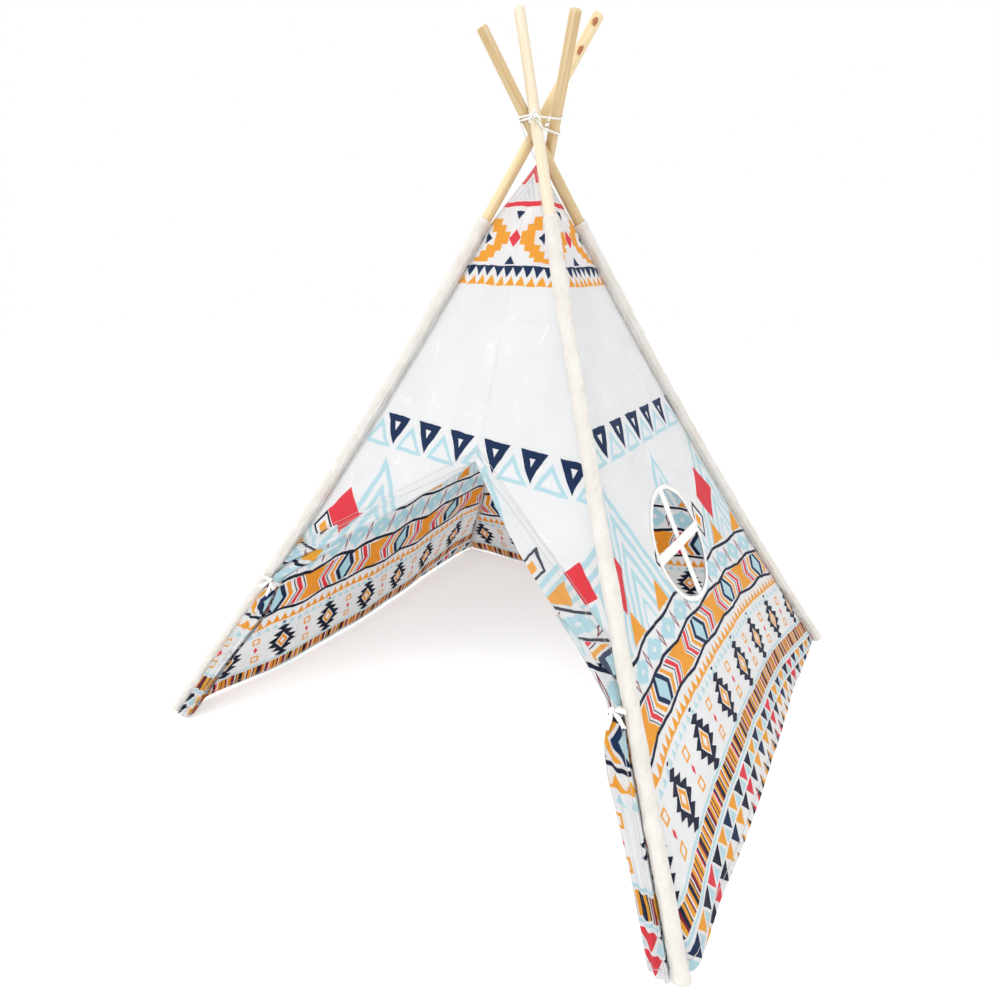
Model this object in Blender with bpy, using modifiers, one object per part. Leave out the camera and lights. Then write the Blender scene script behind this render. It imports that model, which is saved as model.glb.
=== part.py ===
"""A kids' teepee: four jointed wooden poles in canvas sleeves, a printed cotton cover, a tied-back door.

Metres, +Z up. The door faces -Y. The origin is on the floor, midway between the four feet.
"""

import math

import bmesh
import bpy
from mathutils import Matrix, Vector

for old in list(bpy.data.objects):
    bpy.data.objects.remove(old, do_unlink=True)


# The frame: overall sizes
FOOT_SPACING = 1.200          # between neighbouring feet, pole centre to pole centre
CROSSING_HEIGHT = 1.290       # where the poles cross
CROSSING_LEAN = 0.048         # how far the crossing leans towards the door
POLE_LENGTH = 1.727
POLE_DIAMETER = 0.022
POLE_BOW = 0.022              # the cover pulls the middle of each pole inwards by this much

# Where each pole passes the crossing, in pole diameters to the right and towards the back
PASSING_SHARES = {
    "front_left": (-0.39, 1.63),
    "front_right": (-0.31, -0.88),
    "back_right": (-1.50, -1.07),
    "back_left": (1.55, 0.20),
}
# The corner of the floor where each pole stands, in halves of the foot spacing
CORNER_SHARES = {
    "front_left": (-1, -1),
    "front_right": (1, -1),
    "back_right": (1, 1),
    "back_left": (-1, 1),
}

# Pole sections and ferrules
SECTIONS_PER_POLE = 3
CLEARANCE = 0.0003            # between faces that touch on the real thing
FERRULE_LENGTH = 0.070
FERRULE_FIT = 0.0005          # play between pole and ferrule, each side
FERRULE_WALL = 0.0008

# Sleeves
SLEEVE_PLAY = 0.0010          # room between ferrule and sleeve, each side
SLEEVE_WALL = 0.0013
SLEEVE_CUP = 0.0022           # cloth under the pole's end
SLEEVE_TOP_HEIGHT = 1.084
FOOT_FLAT = 0.0015            # how deep the cup is flattened where it stands

# Cover panels
CLOTH_THICKNESS = 0.0016
HEM_HEIGHT = 0.0040           # the hems hang this far off the floor
SEAM_GAP = 0.0006             # between a panel's edge and its sleeve
SEAM_ANGLE = math.radians(75) # round the pole, from the sideways direction towards the inside
APEX_DROP = 0.100             # from the crossing down to the cover's apex
APEX_WIDTH = 0.0015           # the cloth's width at its tip
APEX_HOLE = 0.0022            # from the middle of the apex to each tip

# Door
SLIT_TOP_HEIGHT = 0.637
SLIT_TOP_OFFSET = 0.030       # to the right of the panel's middle
TIE_HEIGHT = 0.330
FACING_WIDTH_TOP = 0.010      # the turned-back edge, measured upright
FACING_WIDTH_TIE = 0.042
FACING_SAG_LEFT = 0.010
FACING_SAG_RIGHT = 0.042
FACING_THICKNESS = 0.0050
FACING_GAP = 0.0006
FACING_INSET = 0.0070         # from the sleeve side's seam

# Door flaps, gathered and tied to the poles
FLAP_WIDTH = 0.056
FLAP_DEPTH = 0.024
FLAP_NECK_RADIUS = 0.0110
FLAP_HEAD = 0.026             # cloth above the ribbon
FLAP_HEAD_WIDTH = 0.032
FLAP_HEM_HEIGHT = 0.0095
FLAP_PLEATS = 7
POINTS_PER_PLEAT = 4

# Ribbons that tie the flaps
RIBBON_THICKNESS = 0.0012
RIBBON_WIDTH = 0.010
RIBBON_FIT = 0.0005           # between ribbon and gathered cloth
RIBBON_SEAT = 0.0005          # between ribbon and sleeve
BOW_WIDTH = 0.056
BOW_HEIGHT = 0.038
BOW_THICKNESS = 0.0024
BOW_KNOT_WIDTH = 0.0080
BOW_KNOT_HEIGHT = 0.0090
BOW_KNOT_SINK = 0.0008        # how deep the knot bites into the band

# Window
WINDOW_RADIUS = 0.122
WINDOW_HEIGHT = 0.465
BINDING_WIDTH = 0.010
BINDING_THICKNESS = 0.0030
SASH_WIDTH = 0.022
SASH_THICKNESS = 0.0024
WINDOW_GAP = 0.0006

# Lashing
LASHING_DROP = 0.024          # the cord has slid down from the crossing by this much
CORD_DIAMETER = 0.0040
CORD_GAP = 0.00045            # between cord and poles
CORD_PITCH = 0.0052           # between turns at the knot
CORD_TURNS = 2
POINTS_PER_TURN = 24
CORD_SPREAD_SHARE = 4.6       # how much further apart the turns lie a quarter turn past the knot
KNOT_SIDE = math.radians(-70)
KNOT_WIDTH = 0.015
KNOT_HEIGHT = 0.019
KNOT_DEPTH = 0.009
KNOT_ROUNDING = 0.0018
TAPE_WIDTH = 0.0060
TAPE_THICKNESS = 0.0010
TAPE_SIDE = math.radians(-130)

# Modelling values
CUT_OVERRUN = 0.010
WELD_DISTANCE = 0.00001
TUBE_STATIONS = 9
POLE_RESOLUTION = 4
CORD_RESOLUTION = 1
FERRULE_STEPS = 16
WINDOW_STEPS = 48
PANEL_COLUMNS = 6
PANEL_ROWS = 9
TIP_ROWS = 2
SLIT_COLUMNS = 4
GAP_STEPS = 4                 # points measured along each stretch of the lashing cord

# Worked out from the sizes above
POLE_RADIUS = POLE_DIAMETER / 2
FERRULE_INNER = POLE_RADIUS + FERRULE_FIT
FERRULE_OUTER = FERRULE_INNER + FERRULE_WALL
SLEEVE_INNER = FERRULE_OUTER + SLEEVE_PLAY
SLEEVE_OUTER = SLEEVE_INNER + SLEEVE_WALL
CORD_RADIUS = CORD_DIAMETER / 2
APEX_HEIGHT = CROSSING_HEIGHT - APEX_DROP
RIBBON_INNER = FLAP_NECK_RADIUS + RIBBON_FIT
RIBBON_OUTER = RIBBON_INNER + RIBBON_THICKNESS
FLAP_SEAT = SLEEVE_OUTER + RIBBON_SEAT + RIBBON_OUTER - FLAP_NECK_RADIUS
UP = Vector((0, 0, 1))


# Materials, in linear colour
def material(name, colour, roughness, metallic=0.0):
    made = bpy.data.materials.new(name)
    made.use_nodes = True
    shader = made.node_tree.nodes["Principled BSDF"]
    shader.inputs["Base Color"].default_value = (*colour, 1.0)
    shader.inputs["Roughness"].default_value = roughness
    shader.inputs["Metallic"].default_value = metallic
    return made


PINE = material("pine", (0.76, 0.62, 0.40), 0.55)
ALUMINIUM = material("aluminium", (0.80, 0.81, 0.83), 0.30, 1.0)
CANVAS = material("natural_canvas", (0.86, 0.80, 0.70), 0.90)
PRINTED_COTTON = material("printed_cotton", (0.85, 0.87, 0.90), 0.85)
WHITE_COTTON = material("white_cotton", (0.88, 0.88, 0.87), 0.85)

PARTS = bpy.data.collections.new("kids_teepee")
CUTTERS = bpy.data.collections.new("cutters")
bpy.context.scene.collection.children.link(PARTS)
bpy.context.scene.collection.children.link(CUTTERS)


def add_part(obj, paint, pivot=None):
    """Puts a finished object in the teepee's collection, and under its pivot if it moves."""
    PARTS.objects.link(obj)
    obj.data.materials.append(paint)
    if pivot is not None:
        obj.parent = pivot
        obj.matrix_parent_inverse = Matrix.Translation(-pivot.location)
    return obj


def add_cutter(obj):
    CUTTERS.objects.link(obj)
    obj.hide_render = True
    obj.display_type = "WIRE"
    return obj


def pivot_at(name, place):
    empty = bpy.data.objects.new(name, None)
    empty.location = place
    PARTS.objects.link(empty)
    return empty


def mesh_object(name, points, faces):
    mesh = bpy.data.meshes.new(name)
    mesh.from_pydata([tuple(p) for p in points], [], faces)
    mesh.update()
    return bpy.data.objects.new(name, mesh)


def tube_curve(name, points, radius, resolution):
    """A round tube along a line of points, with closed ends."""
    curve = bpy.data.curves.new(name, "CURVE")
    curve.dimensions = "3D"
    curve.bevel_depth = radius
    curve.bevel_resolution = resolution
    curve.use_fill_caps = True
    spline = curve.splines.new("POLY")
    spline.points.add(len(points) - 1)
    for slot, point in zip(spline.points, points):
        slot.co = (*point, 1)
    return bpy.data.objects.new(name, curve)


def as_mesh(obj):
    """The same shape as a mesh, with its loose caps welded on."""
    name = obj.name
    PARTS.objects.link(obj)
    bpy.context.view_layer.update()
    graph = bpy.context.evaluated_depsgraph_get()
    mesh = bpy.data.meshes.new_from_object(obj.evaluated_get(graph))
    place = obj.matrix_world.copy()
    bpy.data.objects.remove(obj, do_unlink=True)
    shape = bmesh.new()
    shape.from_mesh(mesh)
    bmesh.ops.remove_doubles(shape, verts=shape.verts, dist=WELD_DISTANCE)
    shape.to_mesh(mesh)
    shape.free()
    solid = bpy.data.objects.new(name, mesh)
    solid.matrix_world = place
    return solid


def boolean(obj, cutter, operation):
    cut = obj.modifiers.new(operation.lower(), "BOOLEAN")
    cut.operation = operation
    cut.solver = "EXACT"
    cut.object = cutter


def solidify(obj, thickness):
    shell = obj.modifiers.new("thickness", "SOLIDIFY")
    shell.thickness = thickness
    shell.offset = 0
    shell.use_even_offset = True


def turned_ring(name, inner, outer, height, steps):
    """A ring about its own Z axis: a rectangle turned through a full circle."""
    half = height / 2
    profile = [(outer, 0, half), (outer, 0, -half), (inner, 0, -half), (inner, 0, half)]
    ring = bpy.data.meshes.new(name)
    ring.from_pydata(profile, [(0, 1), (1, 2), (2, 3), (3, 0)], [])
    obj = bpy.data.objects.new(name, ring)
    turn = obj.modifiers.new("turn", "SCREW")
    turn.angle = 2 * math.pi
    turn.steps = steps
    turn.render_steps = steps
    turn.use_merge_vertices = True
    turn.merge_threshold = WELD_DISTANCE
    return obj


def place_along(obj, centre, axis, side):
    """Turns an object's Z axis onto an axis and its X axis towards a side."""
    z = axis.normalized()
    x = (side - side.project(z)).normalized()
    y = z.cross(x)
    turn = Matrix((x, y, z)).transposed().to_4x4()
    obj.matrix_world = Matrix.Translation(centre) @ turn


# Poles: each one runs straight from foot to crossing, plus a shallow bow that the cover pulls in
class Pole:
    """The centre line of one pole, measured by distance from its foot."""

    def __init__(self, name):
        corner = CORNER_SHARES[name]
        passing = PASSING_SHARES[name]
        half = FOOT_SPACING / 2
        self.name = name
        self.crossing = Vector((
            passing[0] * POLE_DIAMETER,
            passing[1] * POLE_DIAMETER - CROSSING_LEAN,
            CROSSING_HEIGHT,
        ))
        flat_foot = Vector((corner[0] * half, corner[1] * half, 0))
        lean = (self.crossing - flat_foot).normalized()
        level = math.hypot(lean.x, lean.y)
        # The cup's lowest corner is trimmed flat on the floor, which fixes the height of the pole's end
        lift = SLEEVE_OUTER * level - FOOT_FLAT + (SLEEVE_CUP + CLEARANCE) * lean.z
        self.foot = flat_foot + UP * lift
        chord = self.crossing - self.foot
        self.reach = chord.length
        self.along = chord.normalized()
        towards_axis = Vector((-corner[0], -corner[1], 0)).normalized()
        self.inward = (towards_axis - towards_axis.project(self.along)).normalized()
        self.sideways = self.along.cross(self.inward)
        outward = Vector((-chord.x, -chord.y, 0)).normalized()
        self.hinge_axis = UP.cross(outward)
        self.end_slope = (self.along - self.inward * (4 * POLE_BOW / self.reach)).normalized()

    def at(self, distance):
        share = distance / self.reach
        if share > 1:
            return self.crossing + self.end_slope * (distance - self.reach)
        bow = 4 * POLE_BOW * share * (1 - share)
        return self.foot + self.along * distance + self.inward * bow

    def slope(self, distance):
        share = distance / self.reach
        if share > 1:
            return self.end_slope
        return (self.along + self.inward * (4 * POLE_BOW * (1 - 2 * share) / self.reach)).normalized()

    def distance_at(self, height):
        """How far up the pole its centre line reaches a height."""
        distance = (height - self.foot.z) / self.along.z
        for _ in range(5):
            distance += (height - self.at(distance).z) / self.along.z
        return distance

    def line(self, start, end, stations):
        step = (end - start) / (stations - 1)
        return [self.at(start + step * i) for i in range(stations)]


POLES = {name: Pole(name) for name in CORNER_SHARES}
PIVOTS = {name: pivot_at("pivot_" + name, pole.crossing) for name, pole in POLES.items()}


# Pole sections, ferrules and sleeves
def pole_sections(pole, pivot):
    length = POLE_LENGTH / SECTIONS_PER_POLE
    for number, level in enumerate(("lower", "middle", "upper")):
        start = length * number + CLEARANCE / 2
        end = length * (number + 1) - CLEARANCE / 2
        points = pole.line(start, end, TUBE_STATIONS // 2 + 1)
        name = f"pole_{pole.name}_{level}"
        add_part(tube_curve(name, points, POLE_RADIUS, POLE_RESOLUTION), PINE, pivot)
    for number, level in enumerate(("lower", "upper")):
        joint = length * (number + 1)
        ring = turned_ring(
            f"ferrule_{pole.name}_{level}", FERRULE_INNER, FERRULE_OUTER, FERRULE_LENGTH, FERRULE_STEPS
        )
        place_along(ring, pole.at(joint), pole.slope(joint), pole.sideways)
        add_part(ring, ALUMINIUM, pivot)


def sleeve(pole, pivot):
    """A canvas tube sewn shut under the pole's end and flattened where it stands."""
    name = "sleeve_" + pole.name
    top = pole.distance_at(SLEEVE_TOP_HEIGHT)
    bottom = -(SLEEVE_CUP + CLEARANCE)
    skin = as_mesh(tube_curve(name, pole.line(bottom, top, TUBE_STATIONS), SLEEVE_OUTER, POLE_RESOLUTION))
    inside = pole.line(-CLEARANCE, top + CUT_OVERRUN, TUBE_STATIONS)
    bore = add_cutter(as_mesh(tube_curve(name + "_bore", inside, SLEEVE_INNER, POLE_RESOLUTION)))
    boolean(skin, bore, "DIFFERENCE")
    boolean(skin, FLOOR, "DIFFERENCE")
    return add_part(skin, CANVAS, pivot)


def floor_cutter():
    """A slab below the floor that trims the cups level."""
    slab = bmesh.new()
    bmesh.ops.create_cube(slab, size=1)
    mesh = bpy.data.meshes.new("floor_cutter")
    slab.to_mesh(mesh)
    slab.free()
    obj = bpy.data.objects.new("floor_cutter", mesh)
    depth = 2 * SLEEVE_OUTER
    spread = FOOT_SPACING + 4 * SLEEVE_OUTER
    obj.scale = (spread, spread, depth)
    obj.location = (0, 0, -depth / 2)
    return add_cutter(obj)


FLOOR = floor_cutter()
for each in POLES.values():
    pole_sections(each, PIVOTS[each.name])
    sleeve(each, PIVOTS[each.name])


# Cover panels: straight across from seam to seam, curved along the poles
SIDES = {
    "door_panel": ("front_left", "front_right"),
    "window_panel": ("front_right", "back_right"),
    "back_panel": ("back_right", "back_left"),
    "side_panel": ("back_left", "front_left"),
}
SEAM_DISTANCE = SLEEVE_OUTER + SEAM_GAP
CENTRE = sum((pole.crossing for pole in POLES.values()), Vector()) / len(POLES)


def seam_point(pole, towards, height):
    """Where a panel's edge lies beside a pole, at a height."""
    across = towards.foot - pole.foot
    side = pole.sideways * math.copysign(1, pole.sideways.dot(across))
    offset = (side * math.cos(SEAM_ANGLE) + pole.inward * math.sin(SEAM_ANGLE)) * SEAM_DISTANCE
    return pole.at(pole.distance_at(height - offset.z)) + offset


def panel_point(side, share, height):
    left, right = (POLES[name] for name in SIDES[side])
    return seam_point(left, right, height).lerp(seam_point(right, left, height), share)


def half_width(side, height):
    return (panel_point(side, 1, height) - panel_point(side, 0, height)).length / 2


def tip_point(side, share):
    """The narrow end of a panel at the apex, beside the other three."""
    left = panel_point(side, 0, SLEEVE_TOP_HEIGHT)
    right = panel_point(side, 1, SLEEVE_TOP_HEIGHT)
    across = (right - left).normalized()
    out = across.cross(UP).normalized()
    middle = Vector((CENTRE.x, CENTRE.y, APEX_HEIGHT))
    return middle + out * APEX_HOLE + across * (APEX_WIDTH * (share - 0.5))


def grid_faces(columns, rows):
    faces = []
    for row in range(rows - 1):
        for column in range(columns - 1):
            first = row * columns + column
            faces.append((first, first + 1, first + columns + 1, first + columns))
    return faces


def panel(name, shares, lows):
    """A sheet from its lower edge to the sleeve tops, and on to its tip."""
    points = []
    for row in range(PANEL_ROWS):
        rise = row / (PANEL_ROWS - 1)
        for share, low in zip(shares, lows):
            points.append(panel_point(name, share, low + (SLEEVE_TOP_HEIGHT - low) * rise))
    for row in range(1, TIP_ROWS + 1):
        for share in shares:
            base = panel_point(name, share, SLEEVE_TOP_HEIGHT)
            points.append(base.lerp(tip_point(name, share), row / TIP_ROWS))
    faces = grid_faces(len(shares), PANEL_ROWS + TIP_ROWS)
    sheet = mesh_object(name, points, faces)
    solidify(sheet, CLOTH_THICKNESS)
    return sheet


def plain_panel(name):
    shares = [i / PANEL_COLUMNS for i in range(PANEL_COLUMNS + 1)]
    return panel(name, shares, [HEM_HEIGHT] * len(shares))


# Door: the slit's edges run from its top to the ribbons, and are turned back as facings
def flap_head_distance(pole):
    return pole.distance_at(TIE_HEIGHT) + FLAP_HEAD


CORNER_HEIGHT = POLES["front_left"].at(flap_head_distance(POLES["front_left"])).z
SLIT_TOP_SHARE = 0.5 + SLIT_TOP_OFFSET / (2 * half_width("door_panel", SLIT_TOP_HEIGHT))


def slit_columns(side):
    """Shares across the panel and heights along one edge of the opening, from the seam to the slit's top."""
    corner = 0 if side == "left" else 1
    sag = FACING_SAG_LEFT if side == "left" else FACING_SAG_RIGHT
    columns = []
    for step in range(SLIT_COLUMNS + 1):
        run = step / SLIT_COLUMNS
        height = CORNER_HEIGHT + (SLIT_TOP_HEIGHT - CORNER_HEIGHT) * run
        reach = half_width("door_panel", CORNER_HEIGHT) * (corner * 2 - 1) * (1 - run) + SLIT_TOP_OFFSET * run
        share = 0.5 + reach / (2 * half_width("door_panel", height))
        width = FACING_WIDTH_TIE + (FACING_WIDTH_TOP - FACING_WIDTH_TIE) * run
        droop = sag * math.sin(math.pi * run)
        columns.append((share, height - droop, width + droop))
    return columns


def door_panel():
    left = slit_columns("left")
    right = slit_columns("right")
    columns = left + right[-2::-1]
    shares = [share for share, _, _ in columns]
    lows = [height + width for _, height, width in columns]
    return panel("door_panel", shares, lows)


def door_facing(side):
    """The opening's edge, turned back and hanging just under the panel."""
    columns = slit_columns(side)
    outward = 1 if side == "right" else -1
    width = 2 * half_width("door_panel", CORNER_HEIGHT)
    columns[0] = (columns[0][0] - outward * FACING_INSET / width, *columns[0][1:])
    slit_width = 2 * half_width("door_panel", SLIT_TOP_HEIGHT)
    columns[-1] = (columns[-1][0] + outward * FACING_GAP / slit_width, *columns[-1][1:])
    points = [panel_point("door_panel", share, low) for share, low, _ in columns]
    points += [panel_point("door_panel", share, low + tall - FACING_GAP) for share, low, tall in columns]
    strip = mesh_object("door_facing_" + side, points, grid_faces(len(columns), 2))
    solidify(strip, FACING_THICKNESS)
    return add_part(strip, PRINTED_COTTON)


add_part(door_panel(), PRINTED_COTTON)
door_facing("left")
door_facing("right")
add_part(plain_panel("back_panel"), PRINTED_COTTON)
add_part(plain_panel("side_panel"), PRINTED_COTTON)


# Window: a round hole with a sewn binding and a cross of tape
def window_frame():
    """The window's centre, its outward normal and the direction across the panel."""
    centre = panel_point("window_panel", 0.5, WINDOW_HEIGHT)
    above = panel_point("window_panel", 0.5, WINDOW_HEIGHT + WINDOW_RADIUS)
    below = panel_point("window_panel", 0.5, WINDOW_HEIGHT - WINDOW_RADIUS)
    across = (panel_point("window_panel", 1, WINDOW_HEIGHT) - centre).normalized()
    return centre, across.cross(above - below).normalized(), across


def window_cutter(centre, normal, across):
    hole = bmesh.new()
    radius = WINDOW_RADIUS + BINDING_WIDTH + WINDOW_GAP
    bmesh.ops.create_cone(
        hole,
        cap_ends=True,
        segments=WINDOW_STEPS,
        radius1=radius,
        radius2=radius,
        depth=2 * CUT_OVERRUN,
    )
    mesh = bpy.data.meshes.new("window_cutter")
    hole.to_mesh(mesh)
    hole.free()
    obj = bpy.data.objects.new("window_cutter", mesh)
    place_along(obj, centre, normal, across)
    return add_cutter(obj)


def window_sash(centre, normal, across):
    """Two crossed tapes whose square ends reach the binding."""
    half = SASH_WIDTH / 2
    rim = WINDOW_RADIUS * math.cos(math.pi / WINDOW_STEPS) - WINDOW_GAP
    end = math.sqrt(rim ** 2 - half ** 2)
    arm = [(end, -half), (end, half), (half, half)]
    outline = []
    for quarter in range(4):
        turn = Matrix.Rotation(quarter * math.pi / 2, 2)
        outline += [turn @ Vector(point) for point in arm]
    curve = bpy.data.curves.new("window_sash", "CURVE")
    curve.dimensions = "2D"
    curve.fill_mode = "BOTH"
    curve.extrude = SASH_THICKNESS / 2
    spline = curve.splines.new("POLY")
    spline.points.add(len(outline) - 1)
    spline.use_cyclic_u = True
    for slot, point in zip(spline.points, outline):
        slot.co = (*point, 0, 1)
    sash = bpy.data.objects.new("window_sash", curve)
    place_along(sash, centre, normal, across)
    return add_part(sash, WHITE_COTTON)


WINDOW = window_frame()
glazed = plain_panel("window_panel")
boolean(glazed, window_cutter(*WINDOW), "DIFFERENCE")
add_part(glazed, PRINTED_COTTON)
binding = turned_ring(
    "window_binding", WINDOW_RADIUS, WINDOW_RADIUS + BINDING_WIDTH, BINDING_THICKNESS, WINDOW_STEPS
)
place_along(binding, *WINDOW)
add_part(binding, WHITE_COTTON)
window_sash(*WINDOW)


# Door flaps: each half of the door's cloth, gathered and hanging along its pole
class FlapFrame:
    """The line a tied flap swings about, from its pole's foot to the ribbon, and the directions round it."""

    def __init__(self, side):
        pole = POLES["front_" + side]
        other = POLES["front_right" if side == "left" else "front_left"]
        self.side = side
        self.foot = pole.foot
        self.tie_distance = pole.distance_at(TIE_HEIGHT)
        self.tie = pole.at(self.tie_distance)
        self.axis = (self.tie - self.foot).normalized()
        towards = other.at(other.distance_at(TIE_HEIGHT)) - self.tie
        self.across = (towards - towards.project(self.axis)).normalized()
        outward = self.axis.cross(self.across)
        self.outward = outward * math.copysign(1, -outward.y)

    def at(self, distance, across, outward):
        return self.foot + self.axis * distance + self.across * across + self.outward * outward


# Down the flap: share of its height above the floor hem, share of full width, share of full depth, pleat depth
FLAP_PROFILE_SHARES = [
    (0.00, 0.62, 1.00, 0.42),
    (0.14, 0.68, 0.94, 0.42),
    (0.34, 0.80, 0.88, 0.44),
    (0.56, 0.94, 0.84, 0.44),
    (0.76, 1.00, 0.82, 0.42),
    (0.90, 0.78, 0.80, 0.28),
]
FLAP_HEAD_PLEAT_SHARE = 0.42


def flap_ring(frame, distance, half_wide, half_deep, pleat, level_share):
    """One cross-section: an oval with pleats, level with the floor where level_share is 1."""
    ring = []
    count = FLAP_PLEATS * POINTS_PER_PLEAT
    centre = FLAP_SEAT + half_wide
    for step in range(count):
        angle = 2 * math.pi * step / count
        fold = 1 - pleat * (0.5 - 0.5 * math.cos(FLAP_PLEATS * angle))
        across = centre - half_wide * math.cos(angle) * (1 - (1 - fold) * abs(math.sin(angle)))
        point = frame.at(distance, across, half_deep * math.sin(angle) * fold)
        drop = (frame.foot + frame.axis * distance).z - point.z
        ring.append(point + frame.axis * (level_share * drop / frame.axis.z))
    return ring


def door_flap(frame, pivot):
    hem = (FLAP_HEM_HEIGHT - frame.foot.z) / frame.axis.z
    rings = []
    for share, wide, deep, pleat in FLAP_PROFILE_SHARES:
        distance = hem + (frame.tie_distance - hem) * share
        level = max(0, 1 - 3 * share)
        rings.append(flap_ring(frame, distance, FLAP_WIDTH * wide / 2, FLAP_DEPTH * deep / 2, pleat, level))
    neck = RIBBON_WIDTH / 2 + CLEARANCE
    for distance in (frame.tie_distance - neck, frame.tie_distance + neck):
        rings.append(flap_ring(frame, distance, FLAP_NECK_RADIUS, FLAP_NECK_RADIUS, 0, 0))
    top = frame.tie_distance + FLAP_HEAD
    rings.append(flap_ring(frame, top, FLAP_HEAD_WIDTH / 2, FLAP_DEPTH / 2, FLAP_HEAD_PLEAT_SHARE, 0))
    count = len(rings[0])
    points = [point for ring in rings for point in ring]
    faces = []
    for row in range(len(rings) - 1):
        for step in range(count):
            here = row * count + step
            beside = row * count + (step + 1) % count
            faces.append((here, beside, beside + count, here + count))
    faces.append(tuple(reversed(range(count))))
    faces.append(tuple(range(len(points) - count, len(points))))
    cloth = mesh_object("door_flap_" + frame.side, points, faces)
    outward_faces(cloth)
    return add_part(cloth, PRINTED_COTTON, pivot)


def outward_faces(obj):
    shape = bmesh.new()
    shape.from_mesh(obj.data)
    bmesh.ops.recalc_face_normals(shape, faces=shape.faces)
    shape.to_mesh(obj.data)
    shape.free()


# Bow outline, in halves of the bow's width and height, from the middle top round the right-hand side
BOW_SHARES = [(0.14, 0.22), (0.62, 0.92), (0.98, 0.66), (0.92, 0.06), (0.16, -0.16), (0.52, -0.98), (0.30, -1.00)]
BOW_LOOP_SHARES = [(0.34, 0.24), (0.66, 0.62), (0.80, 0.50), (0.74, 0.18)]


def ribbon_tie(frame, pivot):
    """A ribbon round the flap's neck, with a bow on its outer side."""
    name = "tie_" + frame.side
    centre = FLAP_SEAT + FLAP_NECK_RADIUS
    band = turned_ring(name, RIBBON_INNER, RIBBON_OUTER, RIBBON_WIDTH, FERRULE_STEPS)
    place_along(band, frame.at(frame.tie_distance, centre, 0), frame.axis, frame.across)
    right = [Vector((x * BOW_WIDTH / 2, y * BOW_HEIGHT / 2)) for x, y in BOW_SHARES]
    outline = right + [Vector((-point.x, point.y)) for point in reversed(right)]
    loop = [Vector((x * BOW_WIDTH / 2, y * BOW_HEIGHT / 2)) for x, y in BOW_LOOP_SHARES]
    curve = bpy.data.curves.new(name + "_bow", "CURVE")
    curve.dimensions = "2D"
    curve.fill_mode = "BOTH"
    curve.extrude = BOW_THICKNESS / 2
    for points in (outline, loop, [Vector((-point.x, point.y)) for point in loop]):
        spline = curve.splines.new("POLY")
        spline.points.add(len(points) - 1)
        spline.use_cyclic_u = True
        for slot, point in zip(spline.points, points):
            slot.co = (*point, 0, 1)
    bow = bpy.data.objects.new(name + "_bow", curve)
    front = SLEEVE_OUTER + RIBBON_SEAT + BOW_THICKNESS / 2
    place_along(bow, frame.at(frame.tie_distance, centre, front), frame.outward, frame.across)
    bow = add_cutter(as_mesh(bow))
    stem = ribbon_stem(name, frame, centre, front)
    boolean(band, stem, "UNION")
    boolean(band, bow, "UNION")
    return add_part(band, WHITE_COTTON, pivot)


def ribbon_stem(name, frame, centre, front):
    """The knot between the band and the bow."""
    knot = bmesh.new()
    bmesh.ops.create_cube(knot, size=1)
    mesh = bpy.data.meshes.new(name + "_knot")
    knot.to_mesh(mesh)
    knot.free()
    obj = bpy.data.objects.new(name + "_knot", mesh)
    back = RIBBON_OUTER - BOW_KNOT_SINK
    proud = front + BOW_THICKNESS
    place_along(obj, frame.at(frame.tie_distance, centre, (back + proud) / 2), frame.outward, frame.across)
    size = Matrix.Diagonal((BOW_KNOT_WIDTH, BOW_KNOT_HEIGHT, proud - back, 1))
    obj.data.transform(size)
    return add_cutter(obj)


for side in ("left", "right"):
    frame = FlapFrame(side)
    swing = pivot_at("pivot_flap_" + side, frame.tie)
    swing.parent = PIVOTS["front_" + side]
    swing.matrix_parent_inverse = Matrix.Translation(-PIVOTS["front_" + side].location)
    door_flap(frame, swing)
    ribbon_tie(frame, swing)


# Lashing: one cord wound round the four poles where they cross
def pole_reach(pole, normal, height):
    """How far a pole's level cross-section reaches in a level direction, and the point where it does."""
    slope = pole.end_slope
    centre = pole.crossing + slope * ((height - pole.crossing.z) / slope.z)
    lean = Vector((slope.x, slope.y, 0)).normalized()
    long_part = lean * normal.dot(lean) * (POLE_RADIUS / slope.z) ** 2
    side = lean.cross(UP)
    short_part = side * normal.dot(side) * POLE_RADIUS ** 2
    support = (long_part + short_part) / math.sqrt((long_part + short_part).dot(normal))
    return (centre + support).dot(normal), centre + support


def lashed_point(angle, height, gap):
    """A point that clears all four poles by a gap, in the direction of an angle."""
    normal = Vector((math.cos(angle), math.sin(angle), 0))
    reach, point = max((pole_reach(pole, normal, height) for pole in POLES.values()), key=lambda found: found[0])
    return point + normal * gap


def cord_height(turns):
    """The winding climbs steadily, and its turns lie further apart a quarter turn past the knot."""
    angle = 2 * math.pi * turns
    spread = max(0, math.sin(angle)) ** 2
    climb = (turns - CORD_TURNS / 2) * CORD_PITCH * (1 + CORD_SPREAD_SHARE * spread)
    return CROSSING_HEIGHT - LASHING_DROP + climb


def cord_route():
    steps = CORD_TURNS * POINTS_PER_TURN
    gap = CORD_GAP + CORD_RADIUS
    route = []
    for step in range(steps + 1):
        turns = step / POINTS_PER_TURN
        route.append(lashed_point(KNOT_SIDE + 2 * math.pi * turns, cord_height(turns), gap))
    return route


def knot_frame(route):
    """Upright and outward directions at the knot, along the pole it lies on."""
    upright = (route[-1] - route[0]).normalized()
    out = Vector((math.cos(KNOT_SIDE), math.sin(KNOT_SIDE), 0))
    out = (out - out.project(upright)).normalized()
    return upright, out


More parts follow.
